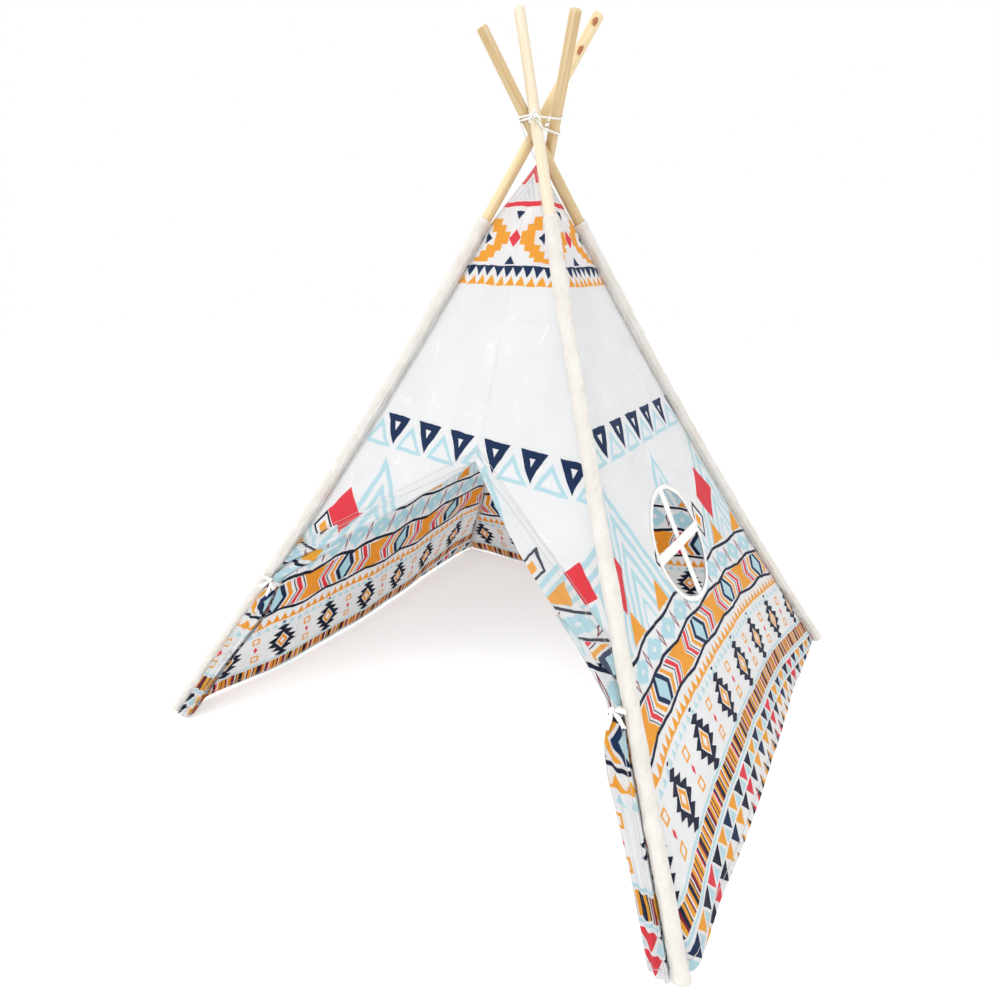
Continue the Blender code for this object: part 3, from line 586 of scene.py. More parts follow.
def border_print(tree, cloth, across, height):
    column = spaced(tree, across, STAR_PITCH, STAR_OFFSET)
    rise = away_from(tree, height, STAR_HEIGHT)
    cloth = painted(tree, cloth, spiky_lozenges(tree, column, rise, 0.0270, 0.0400, 0.0165), DARK_NAVY)
    cloth = painted(tree, cloth, lozenges(tree, column, rise, 0.0205, 0.0250), COTTON)
    ring = lozenges(tree, column, rise, 0.0165, 0.0205)
    ring = without(tree, ring, lozenges(tree, column, rise, 0.0080, 0.0105))
    cloth = painted(tree, cloth, ring, ORANGE)
    between = spaced(tree, across, STAR_PITCH, STAR_OFFSET + STAR_PITCH / 2)
    cloth = painted(tree, cloth, lozenges(tree, between, rise, 0.0052, 0.0085), RED)
    level = away_from(tree, rise, SQUARE_GAP)
    outer, inner = (
        both(tree, band(tree, between, -0.01, wide), band(tree, level, -0.01, tall))
        for wide, tall in ((0.0100, 0.0095), (0.0062, 0.0058))
    )
    cloth = painted(tree, cloth, without(tree, outer, inner), ORANGE)
    phase = add_node(tree, "Math", {0: across, 1: STRIPE_REPEAT, 2: 0.0}, operation="WRAP")
    shares = add_node(tree, "Math", {0: phase, 1: 1 / STRIPE_REPEAT}, operation="MULTIPLY")
    stripes = colour_steps(tree, shares, [
        (0.0, DARK_NAVY), (0.06, ORANGE), (0.11, DARK_NAVY), (0.135, COTTON), (0.16, ORANGE), (0.22, MAROON),
        (0.25, COTTON), (0.28, ORANGE), (0.33, DARK_NAVY), (0.40, ORANGE), (0.43, DARK_NAVY), (0.45, COTTON),
        (0.48, MAROON), (0.54, ORANGE), (0.60, COTTON), (0.62, MAROON), (0.65, ORANGE), (0.71, DARK_NAVY),
        (0.73, ORANGE), (0.79, COTTON), (0.82, RED), (0.85, DARK_NAVY), (0.89, COTTON), (0.91, ORANGE),
        (0.96, MAROON),
    ])
    cloth = painted(tree, cloth, band(tree, height, *STRIPE_BAND), stripes)
    for middle in RULE_HEIGHTS:
        cloth = painted(tree, cloth, band(tree, height, middle - 0.0022, middle + 0.0022), PALE_BLUE)
    moved = add_node(tree, "Math", {0: across, 1: HEM_PITCH / 2}, operation="ADD")
    turn = add_node(tree, "Math", {0: moved, 1: INK_REPEAT, 2: 0.0}, operation="WRAP")
    order = add_node(tree, "Math", {0: turn, 1: 1 / INK_REPEAT}, operation="MULTIPLY")
    inks = colour_steps(tree, order, [
        (number / 6, ink) for number, ink in enumerate((ORANGE, DARK_NAVY, RED, DARK_NAVY, ORANGE, NAVY))
    ])
    small = spaced(tree, across, HEM_PITCH)
    between = spaced(tree, across, HEM_PITCH, HEM_PITCH / 2)
    cloth = painted(tree, cloth, triangles(tree, small, height, 0.0195, 0.0790, 0.0545), inks)
    cloth = painted(tree, cloth, triangles(tree, between, height, 0.0130, 0.0555, 0.0745), PALE_BLUE)
    cloth = painted(tree, cloth, triangles(tree, small, height, 0.0195, 0.0515, 0.0270), inks)
    return painted(tree, cloth, triangles(tree, between, height, 0.0150, 0.0060, 0.0300), inks)


# %% [markdown]
# Cotton canvas this light is a plain weave, with some 24 threads to the centimetre. That is too fine to show
# from a metre away, so the weave's bump is drawn four times as coarse. The ink sits in the threads: the
# colours fade and deepen a little from place to place. On the unprinted ground, thin broken white lines
# are painted highlights, where hard folds would catch the light. Daylight shines through the cloth, which
# is why the inside looks nearly as bright as the outside.

# %% Printed cotton
WEAVE_PITCH = 0.0016          # four times the real 0.4 mm, so that the weave shows in a render
CREASE_PITCH = 0.34           # where the folded cover was pressed in its bag
SEAM_STITCH = 0.006           # from the side seam
HEM_STITCH = 0.012            # above the lower edge
STITCH_HALF = 0.0007          # half of a sewn line's width
STITCH = "#DEDDDA"
INK_WANDER = 0.0065           # how far the ink's edges stray, at most half of this to each side
SHINE_THROUGH = 0.52          # how much of the printed cloth's shading is light from behind


def woven_bump(tree, coordinates, pitch, strength, under):
    """A plain weave: two sets of threads at right angles, each rising and sinking in turn, over a bump."""
    parts = add_node(tree, "SeparateXYZ", {0: coordinates}).node
    waves = []
    for axis in (0, 1):
        values = {0: parts.outputs[axis], 1: 2 * math.pi / pitch}
        turned = add_node(tree, "Math", values, operation="MULTIPLY")
        waves.append(add_node(tree, "Math", {0: turned}, operation="SINE"))
    weave = add_node(tree, "Math", {0: waves[0], 1: waves[1]}, operation="MULTIPLY")
    inputs = {"Strength": strength, "Distance": 0.0004, "Height": weave, "Normal": under}
    return add_node(tree, "Bump", inputs)


def crease_highlights(tree, place):
    """Painted highlights: thin broken white lines that wander over the cloth, where one soft noise is about a
    half.
    """
    wander = add_node(tree, "TexNoise", {"Vector": place, "Scale": 8.0, "Detail": 2.0})
    line = add_node(tree, "Math", {0: wander, 1: 0.5, 2: 0.006}, operation="COMPARE")
    patch = add_node(tree, "TexNoise", {"Vector": place, "Scale": 18.4, "Detail": 1.0})
    broken = add_node(tree, "MapRange", {"Value": patch, "From Min": 0.5, "From Max": 0.6, "To Max": 0.9})
    return add_node(tree, "Math", {0: line, 1: broken}, operation="MULTIPLY")


def stitch_lines(tree):
    """1 on the two sewn lines, by the map of metres from the seam and from the hem."""
    edges = add_node(tree, "SeparateXYZ", {0: add_node(tree, "UVMap", uv_map="edge")}).node
    seam, hem = (
        add_node(tree, "Math", {0: edges.outputs[axis], 1: place, 2: STITCH_HALF}, operation="COMPARE")
        for axis, place in enumerate((SEAM_STITCH, HEM_STITCH))
    )
    return add_node(tree, "Math", {0: seam, 1: hem}, operation="MAXIMUM")


def cloth_bump(tree, place, across, height, stitched):
    """The cloth's relief, from large to small: creases, two pressed folds, sewn lines and threads."""
    creased = add_node(tree, "TexNoise", {"Vector": place, "Scale": 14.0, "Detail": 5.0, "Roughness": 0.6})
    soft = add_node(tree, "Bump", {"Strength": 0.90, "Distance": 0.0048, "Height": creased})
    for value, shift in ((across, 0.03), (height, 0.12)):
        moved = add_node(tree, "Math", {0: value, 1: shift}, operation="ADD")
        fold = add_node(tree, "Math", {0: moved, 1: CREASE_PITCH / 2}, operation="PINGPONG")
        ridge = add_node(tree, "MapRange", {"Value": fold, "From Max": 0.007, "To Min": 1.0, "To Max": 0.0})
        inputs = {"Strength": 0.6, "Distance": 0.0016, "Height": ridge, "Normal": soft}
        soft = add_node(tree, "Bump", inputs)
    sunk = add_node(tree, "Math", {0: 1.0, 1: stitched}, operation="SUBTRACT")
    soft = add_node(tree, "Bump", {"Strength": 0.7, "Distance": 0.0008, "Height": sunk, "Normal": soft})
    return woven_bump(tree, place, WEAVE_PITCH, 0.22, soft)


def printed_cotton(name, muted=0.0):
    """muted is how much the print fades on the cloth's wrong side."""
    made, tree = new_material(name)
    place = add_node(tree, "UVMap", uv_map="print")
    wobble = add_node(tree, "TexNoise", {"Vector": place, "Scale": 26.0, "Detail": 2.0})
    colour_part = wobble.node.outputs["Color"]
    shifted = add_node(tree, "VectorMath", {0: colour_part, 1: (0.5, 0.5, 0.5)}, operation="SUBTRACT")
    stray = {0: shifted, 1: (INK_WANDER, INK_WANDER, 0.0), 2: place}
    hand = add_node(tree, "VectorMath", stray, operation="MULTIPLY_ADD")
    parts = add_node(tree, "SeparateXYZ", {0: hand}).node
    across, height = parts.outputs[0], parts.outputs[1]
    # Painted highlights: thin white lines on the cotton ground, where hard creases would catch the light.
    cloth = painted(tree, linear(COTTON), crease_highlights(tree, place), "#FFFFFF")
    for section in (crown_print, field_print, belt_print, border_print):
        cloth = section(tree, cloth, across, height)
    cloth = painted(tree, cloth, muted, COTTON) if muted else cloth
    stitched = stitch_lines(tree)
    cloth = painted(tree, cloth, stitched, STITCH)
    patches = add_node(tree, "TexNoise", {"Vector": place, "Scale": 9.0, "Detail": 4.0})
    depth = add_node(tree, "MapRange", {"Value": patches, "To Min": 0.955, "To Max": 1.03})
    shades = {"Factor": 1.0, "A": cloth, "B": depth}
    cloth = add_node(tree, "Mix", shades, data_type="RGBA", blend_type="MULTIPLY")
    rough = cloth_bump(tree, place, across, height, stitched)
    front = add_node(tree, "BsdfPrincipled", {
        "Base Color": cloth, "Roughness": 0.82, "Normal": rough, "Sheen Weight": 0.12, "Sheen Roughness": 0.5,
    })
    behind = add_node(tree, "BsdfTranslucent", {"Color": cloth, "Normal": rough})
    surface_of(tree, add_node(tree, "MixShader", {0: SHINE_THROUGH, 1: front, 2: behind}))
    return made


PRINTED_COTTON = printed_cotton("printed plain-weave cotton")
PRINT_REVERSE = printed_cotton("printed cotton, wrong side", 0.10)
print(len(PRINTED_COTTON.node_tree.nodes), "nodes in the printed cotton")

# %% [markdown]
# ## Natural canvas, white tape, pine and aluminium
# The sleeves are unbleached cotton canvas: a warm cream, coarser than the print's cloth, with darker flecks
# of husk in the yarn. The window's binding, the ribbons and the cord are bleached cotton. The poles are
# planed pine, unvarnished, with fine grain along the pole. The tubes that join the poles are aluminium.

# %% Canvas, tape, pine and aluminium
CANVAS_PITCH = 0.0024         # three times the real 0.8 mm
HUSK = "#D6C8B2"


def natural_canvas():
    made, tree = new_material("unbleached cotton canvas")
    place = add_node(tree, "UVMap", uv_map="cloth")
    large = add_node(tree, "TexNoise", {"Vector": place, "Scale": 18.0, "Detail": 4.0})
    tone = add_node(tree, "MapRange", {"Value": large, "From Min": 0.3, "From Max": 0.7})
    cloth = painted(tree, linear("#F9F7F3"), tone, "#EFEAE3")
    flecks = add_node(tree, "TexNoise", {"Vector": place, "Scale": 420.0, "Detail": 1.0})
    speck = add_node(tree, "MapRange", {"Value": flecks, "From Min": 0.66, "From Max": 0.74})
    cloth = painted(tree, cloth, speck, HUSK)
    crumple = add_node(tree, "TexNoise", {"Vector": place, "Scale": 55.0, "Detail": 5.0, "Roughness": 0.62})
    soft = add_node(tree, "Bump", {"Strength": 0.95, "Distance": 0.0052, "Height": crumple})
    rough = woven_bump(tree, place, CANVAS_PITCH, 0.35, soft)
    front = add_node(tree, "BsdfPrincipled", {
        "Base Color": cloth, "Roughness": 0.88, "Normal": rough, "Sheen Weight": 0.15, "Sheen Roughness": 0.5,
    })
    behind = add_node(tree, "BsdfTranslucent", {"Color": cloth, "Normal": rough})
    surface_of(tree, add_node(tree, "MixShader", {0: 0.24, 1: front, 2: behind}))
    return made


def bleached_cotton(name, colour, pitch):
    """Tape, ribbon and cord: dense twill whose ribs run across it."""
    made, tree = new_material(name)
    place = add_node(tree, "UVMap", uv_map="cloth")
    parts = add_node(tree, "SeparateXYZ", {0: place}).node
    slant = add_node(tree, "Math", {0: parts.outputs[0], 1: parts.outputs[1]}, operation="ADD")
    turned = add_node(tree, "Math", {0: slant, 1: 2 * math.pi / pitch}, operation="MULTIPLY")
    ribs = add_node(tree, "Math", {0: turned}, operation="SINE")
    patches = add_node(tree, "TexNoise", {"Vector": place, "Scale": 60.0, "Detail": 3.0})
    tone = add_node(tree, "MapRange", {"Value": patches, "From Min": 0.3, "From Max": 0.7})
    cloth = painted(tree, linear(colour), tone, "#E9E8E6")
    rough = add_node(tree, "Bump", {"Strength": 0.3, "Distance": 0.0003, "Height": ribs})
    surface_of(tree, add_node(tree, "BsdfPrincipled", {
        "Base Color": cloth, "Roughness": 0.75, "Normal": rough, "Sheen Weight": 0.15, "Sheen Roughness": 0.4,
    }))
    return made


def planed_pine(name, pale, dark, knots=()):
    """Grain that runs with the pole, on a map of metres round and along it.

    Each knot is its place round the pole, its place along it, its width and its height.
    """
    made, tree = new_material(name)
    place = add_node(tree, "UVMap", uv_map="grain")
    stretched = add_node(tree, "Mapping", {"Vector": place, "Scale": (170.0, 3.2, 1.0)})
    grain = add_node(tree, "TexNoise", {"Vector": stretched, "Scale": 1.0, "Detail": 5.0, "Roughness": 0.65})
    streak = add_node(tree, "MapRange", {"Value": grain, "From Min": 0.38, "From Max": 0.68})
    wood = painted(tree, linear(pale), streak, dark)
    broad = add_node(tree, "Mapping", {"Vector": place, "Scale": (30.0, 1.1, 1.0)})
    ring = add_node(tree, "TexNoise", {"Vector": broad, "Scale": 1.0, "Detail": 2.0})
    warm = add_node(tree, "MapRange", {"Value": ring, "From Min": 0.45, "From Max": 0.7, "To Max": 0.55})
    wood = painted(tree, wood, warm, dark)
    for across, along, wide, tall in knots:
        gap = add_node(tree, "VectorMath", {0: place, 1: (across, along, 0.0)}, operation="SUBTRACT")
        scaled = add_node(tree, "VectorMath", {0: gap, 1: (1 / wide, 1 / tall, 0.0)}, operation="MULTIPLY")
        uneven = add_node(tree, "TexNoise", {"Vector": place, "Scale": 240.0, "Detail": 2.0})
        reach = add_node(tree, "VectorMath", {0: scaled}, operation="LENGTH").node.outputs["Value"]
        jagged = add_node(tree, "Math", {0: uneven, 1: 0.8, 2: reach}, operation="MULTIPLY_ADD")
        mark = add_node(tree, "MapRange", {
            "Value": jagged, "From Min": 1.0, "From Max": 1.45, "To Min": 1.0, "To Max": 0.0,
        })
        wood = painted(tree, wood, mark, "#A9693F")
    rough = add_node(tree, "Bump", {"Strength": 0.25, "Distance": 0.0003, "Height": grain})
    surface_of(tree, add_node(tree, "BsdfPrincipled", {
        "Base Color": wood, "Roughness": 0.52, "Normal": rough, "Coat Weight": 0.06, "Coat Roughness": 0.4,
    }))
    return made


def brushed_aluminium():
    made, tree = new_material("brushed aluminium")
    place = add_node(tree, "TexCoord").node.outputs["Object"]
    lines = add_node(tree, "TexNoise", {"Vector": place, "Scale": 900.0, "Detail": 2.0})
    rough = add_node(tree, "MapRange", {"Value": lines, "To Min": 0.26, "To Max": 0.42})
    surface_of(tree, add_node(tree, "BsdfPrincipled", {
        "Base Color": linear("#D3D5D8"), "Metallic": 1.0, "Roughness": rough,
    }))
    return made


CANVAS = natural_canvas()
WHITE_TAPE = bleached_cotton("bleached cotton tape", "#F7F6F3", 0.0012)
WHITE_CORD = bleached_cotton("bleached cotton cord", "#F4F2EE", 0.0016)
ALUMINIUM = brushed_aluminium()
PINES = {
    "front_right": planed_pine("planed pine, pale", "#E4DBC8", "#D8C7A4"),
    "back_right": planed_pine("planed pine, straw", "#D8C49C", "#BFA06C"),
    "back_left": planed_pine("planed pine, tan", "#DCC79E", "#C4A474"),
    "front_left": planed_pine(
        "planed pine with knots", "#EBDCB8", "#DBC08C",
        [(0.0632, 1.709, 0.0075, 0.010), (0.0650, 1.652, 0.0066, 0.012)],
    ),
}

# %% [markdown]
# ## How the cloth folds
# When the poles close, each panel folds outwards along its middle, like the lobes of a shut umbrella. The
# middle keeps its place and the edges go with their poles. So a panel is built as two halves, and a point's
# share of its pole's turn is worked out to grow with its distance from the middle.

# %% Shares of a pole's turn
STILL_SHARE = 0.05            # this much of the half width round the middle keeps still
LOBE_SHARE = 0.12             # how far the folded lobe bulges
CLOTH_THICKNESS = 0.0010
APEX_HEIGHT = 1.190
APEX_WIDTH = 0.0015
APEX_HOLE = 0.0022
HEM_HEIGHT = 0.0040           # from the floor


def turn_shares(spots, heights):
    """The share of the pole's turn at each point. spots run from -1 at the left seam to 1 at the right."""
    t = np.clip((np.abs(spots) - STILL_SHARE) / (1 - STILL_SHARE), 0, 1)
    lobe = t - LOBE_SHARE * np.sin(math.pi * t)
    return lobe * (1 - smooth_step(heights, SLEEVE_TOP_HEIGHT, APEX_HEIGHT - 0.005))


def bends(obj, node):
    """Bakes the piece's place into its mesh and hides the solid that it stands for."""
    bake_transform(obj)
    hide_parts(node)


def rides(obj, body, node, material):
    obj.data.materials.append(material)
    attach(obj, body)
    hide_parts(node)


# %% [markdown]
# ## The panels
# Each panel is a triangle of cotton between two sleeves. It is straight across from seam to seam, because
# the cover is stretched between the poles, and it follows their bow. On top of that come the small things
# that make it cloth: folds that fan out from the apex, puckers along the sewn edges and a hem that sways.

# %% A panel's surface
SIDES = {
    "door_panel": ("front_left", "front_right"),
    "window_panel": ("front_right", "back_right"),
    "back_panel": ("back_right", "back_left"),
    "side_panel": ("back_left", "front_left"),
}
SEAM_DISTANCE = 0.0152        # from the pole's line
SEAM_ANGLE = math.radians(75)
FAN_DEPTH = 0.0095
HEM_SWAY = 0.0085
HEM_SWAY_TOP = 0.36
PUCKER_DEPTH = 0.0052
PUCKER_REACH = 0.030
CRUMPLE_DEPTH = 0.0020
SLUMPS = {                    # how far the hem lies in, the power of its place and the power of its fade
    "side_panel": (0.055, 1.4, 0.0),
    "window_panel": (-0.032, 0.40, 1.2),
}
SLUMP_TOP = 0.26


def seam_point(pole, towards, height):
    across = towards.foot - pole.foot
    side = pole.sideways * math.copysign(1, pole.sideways.dot(across))
    offset = (side * math.cos(SEAM_ANGLE) + pole.inward * math.sin(SEAM_ANGLE)) * SEAM_DISTANCE
    return pole.at(pole.distance_at(height - offset.z)) + offset


class Panel:
    """The surface of one panel. Shares run from 0 at its left seam to 1 at its right, heights in metres."""

    def __init__(self, name, seed):
        self.name = name
        self.seed = seed
        self.middle = 0.5
        self.slump, self.slump_place, self.slump_fade = SLUMPS.get(name, (0.0, 1.0, 0.0))
        self.poles = SIDES[name]
        left, right = (POLES[pole] for pole in self.poles)
        self.levels = np.linspace(0, SLEEVE_TOP_HEIGHT, 140)
        self.seams = [
            np.array([seam_point(pole, other, level) for level in self.levels])
            for pole, other in ((left, right), (right, left))
        ]
        top = [Vector(seam[-1]) for seam in self.seams]
        self.across = (top[1] - top[0]).normalized()
        tip = Vector((CENTRE.x, CENTRE.y, APEX_HEIGHT)) + self.across.cross(UP).normalized() * APEX_HOLE
        self.tips = [np.array(tip + self.across * (APEX_WIDTH * side)) for side in (-0.5, 0.5)]

    def edge(self, side, heights):
        low = np.clip(heights, 0, SLEEVE_TOP_HEIGHT)
        seam = self.seams[side]
        place = np.stack([np.interp(low, self.levels, seam[:, i]) for i in range(3)], axis=-1)
        rise = np.clip((heights - SLEEVE_TOP_HEIGHT) / (APEX_HEIGHT - SLEEVE_TOP_HEIGHT), 0, 1)[..., None]
        return place * (1 - rise) + self.tips[side] * rise

    def flat(self, shares, heights):
        left, right = self.edge(0, heights), self.edge(1, heights)
        return left + (right - left) * shares[..., None]

    def half_width(self, heights):
        return np.linalg.norm(self.edge(1, heights) - self.edge(0, heights), axis=-1) / 2

    def spots(self, shares):
        """-1 at the left seam, 0 on the line where the panel folds and 1 at the right seam."""
        apart = shares - self.middle
        return np.where(apart < 0, apart / self.middle, apart / (1 - self.middle))

    def outward(self, shares, heights):
        step = 0.002
        heights = np.clip(heights, step, APEX_HEIGHT - 2 * step)
        across = self.edge(1, heights) - self.edge(0, heights)
        climb = self.flat(shares, heights + step) - self.flat(shares, heights - step)
        normals = np.cross(across, climb)
        return normals / np.linalg.norm(normals, axis=-1, keepdims=True)

    def rumple(self, shares, heights):
        """How far the cloth stands out of its flat surface, in metres."""
        spots = shares * 2 - 1
        from_seam = (1 - np.abs(spots)) * self.half_width(heights)
        depth = np.zeros(spots.shape)
        for place in np.ndindex(spots.shape):
            spot, height, gap = spots[place], heights[place], from_seam[place]
            fan = soft_noise(spot * 3.4, height * 0.9, self.seed) * FAN_DEPTH * (1.15 - height)
            low = max(0, 1 - height / HEM_SWAY_TOP)
            sway = soft_noise(spot * 2.3, height * 1.5, self.seed + 5) * HEM_SWAY * low
            near = gap / PUCKER_REACH * math.exp(1 - gap / PUCKER_REACH)
            pucker = soft_noise(height * 21, spot * 3 + gap * 12, self.seed + 9) * PUCKER_DEPTH * near
            crumple = soft_noise(spot * 9, height * 13, self.seed + 13) * CRUMPLE_DEPTH
            depth[place] = fan + sway + pucker + crumple
        pinned = smooth_step(from_seam, 0, 0.022) * (1 - smooth_step(heights, 1.02, 1.13))
        return depth * pinned

    def slumped(self, shares, heights):
        """How far the hem lies inside its line, most towards the front. The window side's swings out."""
        along = np.sin(math.pi * shares ** self.slump_place) * (1 - shares) ** self.slump_fade
        return self.slump * along * (1 - smooth_step(heights, 0.0, SLUMP_TOP))

    def cloth(self, shares, heights, lift=0.0):
        shares, heights = np.broadcast_arrays(np.asarray(shares, float), np.asarray(heights, float))
        out = (self.rumple(shares, heights) + lift)[..., None]
        ways = self.outward(shares, heights)
        level = ways * (1, 1, 0) * self.slumped(shares, heights)[..., None]
        return self.flat(shares, heights) + ways * out - level


PANELS = {name: Panel(name, seed) for name, seed in zip(SIDES, (3.1, 17.4, 29.8, 41.3))}
for name, panel in PANELS.items():
    print(f"{name}: {float(panel.half_width(np.array(0.0))):.3f} m from its middle to its seam, at the hem")

# %% [markdown]
# The print is the same on all four panels. Its bands dip a little towards the seams near the floor, because
# the panels are cut wider than they are pulled. The panel opposite the window and the back one have slumped,
# so their bands sit lower. On the window's panel the middle of the print lies to one side, and the ribbons
# pull the door's print down and a little across.

# %% The print's map on a panel
BAND_DIP = 0.060
BAND_DIP_TOP = 0.62
SLUMP = 0.078
WINDOW_SHIFT = 0.050          # across, round the window
DOOR_SHIFT = 0.020            # across, round the slit's top
DOOR_PULL = 0.022             # down, between the ribbons and the slit's top


def print_map(panel, shares, heights):
    """Metres across from the panel's middle, and metres up the print."""
    spots = shares * 2 - 1
    across = spots * panel.half_width(heights)
    dip = BAND_DIP * spots ** 2 * np.clip(1 - heights / BAND_DIP_TOP, 0, 1)
    up = heights + dip
    if panel.name in ("side_panel", "back_panel"):
        slumped = (1 - smooth_step(heights, 0.16, 0.44)) * (0.35 + 0.65 * smooth_step(spots, -0.95, -0.25))
        up = heights + SLUMP * slumped + dip * 0.15
    if panel.name == "window_panel":
        moved = smooth_step(heights, 0.24, 0.40) * (1 - smooth_step(heights, 0.637, 0.655))
        across = across + WINDOW_SHIFT * moved
    if panel.name == "door_panel":
        pulled = smooth_step(heights, 0.34, 0.52) * (1 - smooth_step(heights, 0.72, 0.90))
        up = heights + DOOR_PULL * pulled * (1 + 0.60 * (spots + 1))
        moved = smooth_step(heights, 0.56, 0.65) * (1 - smooth_step(heights, 0.76, 0.94))
        across = across + DOOR_SHIFT * moved
    return np.stack([across, up], axis=-1)


def edge_map(panel, shares, heights, lows):
    """Metres from the nearest side seam, and metres above the lower edge."""
    from_seam = (1 - np.abs(shares * 2 - 1)) * panel.half_width(heights)
    return np.stack([from_seam, heights - lows], axis=-1)


# %% Two halves of a panel
COLUMNS_PER_HALF = 40
ROWS = 120


def panel_shares(middle=0.5):
    left = np.linspace(0, middle, COLUMNS_PER_HALF + 1)
    return np.concatenate([left, np.linspace(middle, 1, COLUMNS_PER_HALF + 1)[1:]])


def make_panel(panel, lows, opening=None):
    """Both halves of a panel that starts at the heights in lows, one for each column."""
    columns = panel_shares(panel.middle)
    rise = np.linspace(0, 1, ROWS + 1)[:, None]
    shares = np.broadcast_to(columns, (ROWS + 1, len(columns))).copy()
    heights = lows + (APEX_HEIGHT - lows) * rise
    points = panel.cloth(shares, heights)
    keep = np.ones((ROWS, len(columns) - 1), bool)
    if opening is not None:
        points, keep = opening(points)
    normals = grid_normals(points)
    maps = {
        "print": print_map(panel, shares, heights),
        "edge": edge_map(panel, shares, heights, np.broadcast_to(lows, shares.shape)),
    }
    turns = turn_shares(panel.spots(shares), heights)
    halves = []
    for side, columns_used in enumerate((slice(0, COLUMNS_PER_HALF + 1), slice(COLUMNS_PER_HALF, None))):
        cells = slice(0, COLUMNS_PER_HALF) if side == 0 else slice(COLUMNS_PER_HALF, None)
        half = shell(
            f"{panel.name}_{'left' if side == 0 else 'right'}_half",
            points[:, columns_used],
            CLOTH_THICKNESS,
            {title: values[:, columns_used] for title, values in maps.items()},
            keep[:, cells],
            normals[:, columns_used],
        )
        used = corners_used(keep[:, cells])
        half.data.materials.append(PRINTED_COTTON)
        bends(half, panel.name)
        halves.append(half)
    return halves


def half_panel_facts(panel):
    """The half width of a panel at its hem, worked out and left unused."""
    width = float(panel.half_width(np.array(0.0)))


plain_lows = np.full(2 * COLUMNS_PER_HALF + 1, HEM_HEIGHT)
for name in ("back_panel", "side_panel"):
    for half in make_panel(PANELS[name], plain_lows):
        half_panel_facts(PANELS[name])

# %% [markdown]
# ## The window
# The window is a round hole with white tape folded over its edge and two tapes crossed over it. The grid
# has no circle in it. So the cells inside the hole are left out, the points round it are moved out to the
# circle, and the tape covers the rim, as it does on the real cloth.

# %% The window's place
WINDOW_RADIUS = 0.117
WINDOW_HEIGHT = 0.455
BINDING_WIDTH = 0.010
BINDING_THICKNESS = 0.0030
SASH_WIDTH = 0.022
SASH_THICKNESS = 0.0012

window = PANELS["window_panel"]
window_levels = WINDOW_HEIGHT + np.array([-WINDOW_RADIUS, 0, WINDOW_RADIUS])
below, window_centre, above = window.flat(np.full(3, 0.5), window_levels)
window_across = window.flat(np.array(1.0), np.array(WINDOW_HEIGHT)) - window_centre
window_across /= np.linalg.norm(window_across)
window_up = above - below
window_normal = np.cross(window_across, window_up)
window_normal /= np.linalg.norm(window_normal)
window_up = np.cross(window_normal, window_across)


def window_hole(points):
    """Leaves out the cells inside the hole and rounds its rim."""
    radius = WINDOW_RADIUS + BINDING_WIDTH / 2
    from_centre = points - window_centre
    out = (from_centre @ window_normal)[..., None] * window_normal
    level = from_centre - out
    reach = np.linalg.norm(level, axis=-1)
    middles = (reach[:-1, :-1] + reach[1:, :-1] + reach[:-1, 1:] + reach[1:, 1:]) / 4
    keep = middles > radius
    left_out = corners_used(~keep)
    rim = left_out & corners_used(keep)
    scale = np.where(rim, radius / np.maximum(reach, 1e-9), 1)[..., None]
    return window_centre + level * scale + out, keep


def window_spot(x, y):
    """Share and height on the panel of a place on the window, in metres from its centre."""
    heights = WINDOW_HEIGHT + y * window_up[2]
    return 0.5 + x / (2 * window.half_width(heights)), heights


for half in make_panel(window, plain_lows, window_hole):
    half_panel_facts(window)


# %% The window's tapes
def tape_piece(name, x, y, thickness, lift, node):
    """A strip on the window's surface. x and y are grids of places, in metres from its centre."""
    shares, heights = window_spot(x, y)
    points = window.cloth(shares, heights, lift)
    along = np.cumsum(np.linalg.norm(np.gradient(points, axis=0), axis=-1), axis=0)
    across = np.cumsum(np.linalg.norm(np.gradient(points, axis=1), axis=-1), axis=1)
    piece = shell(name, points, thickness, {"cloth": np.stack([across, along], axis=-1)})
    piece.data.materials.append(WHITE_TAPE)
    share = turn_shares(window.spots(shares), heights).ravel()
    bends(piece, node)


def ring_grid(start, end):
    """Places on the binding from one angle to another, running outwards and round."""
    angles = np.radians(np.linspace(start, end, 61))[:, None]
    radii = np.linspace(WINDOW_RADIUS, WINDOW_RADIUS + BINDING_WIDTH, 5)[None, :]
    return radii * np.cos(angles), radii * np.sin(angles)


for ending, pole_name, start in (("back", "back_right", -90), ("front", "front_right", 270)):
    x, y = ring_grid(start, 90)
    if ending == "front":
        x, y = x[:, ::-1], y[:, ::-1]
    tape_piece("window_binding_" + ending, x, y, BINDING_THICKNESS, 0, "window_binding")

sash_rim = math.sqrt(WINDOW_RADIUS ** 2 - (SASH_WIDTH / 2) ** 2) + BINDING_WIDTH / 3
sash_width = np.linspace(-SASH_WIDTH / 2, SASH_WIDTH / 2, 9)
x, y = np.meshgrid(sash_width, np.linspace(-sash_rim, sash_rim, 61))
tape_piece("window_sash_upright", x, y, SASH_THICKNESS, -SASH_THICKNESS / 2, "window_sash")
for ending, pole_name, start in (("front", "front_right", -sash_rim), ("back", "back_right", 0)):
    x, y = np.meshgrid(np.linspace(start, start + sash_rim, 31), sash_width)
    tape_piece("window_sash_level_" + ending, x, y, SASH_THICKNESS, SASH_THICKNESS, "window_sash")
print(f"window {2 * WINDOW_RADIUS:.3f} m across, {WINDOW_HEIGHT} m up")

# %% [markdown]
# ## The door
# The door is a slit in the front panel. Below its top the two sides are drawn apart, turned back once, so
# that the cloth's paler wrong side shows along the edge, and gathered at a ribbon on each front pole. The
# turned edge is a strip of its own: it starts behind the panel, goes round the fold and comes back in front.

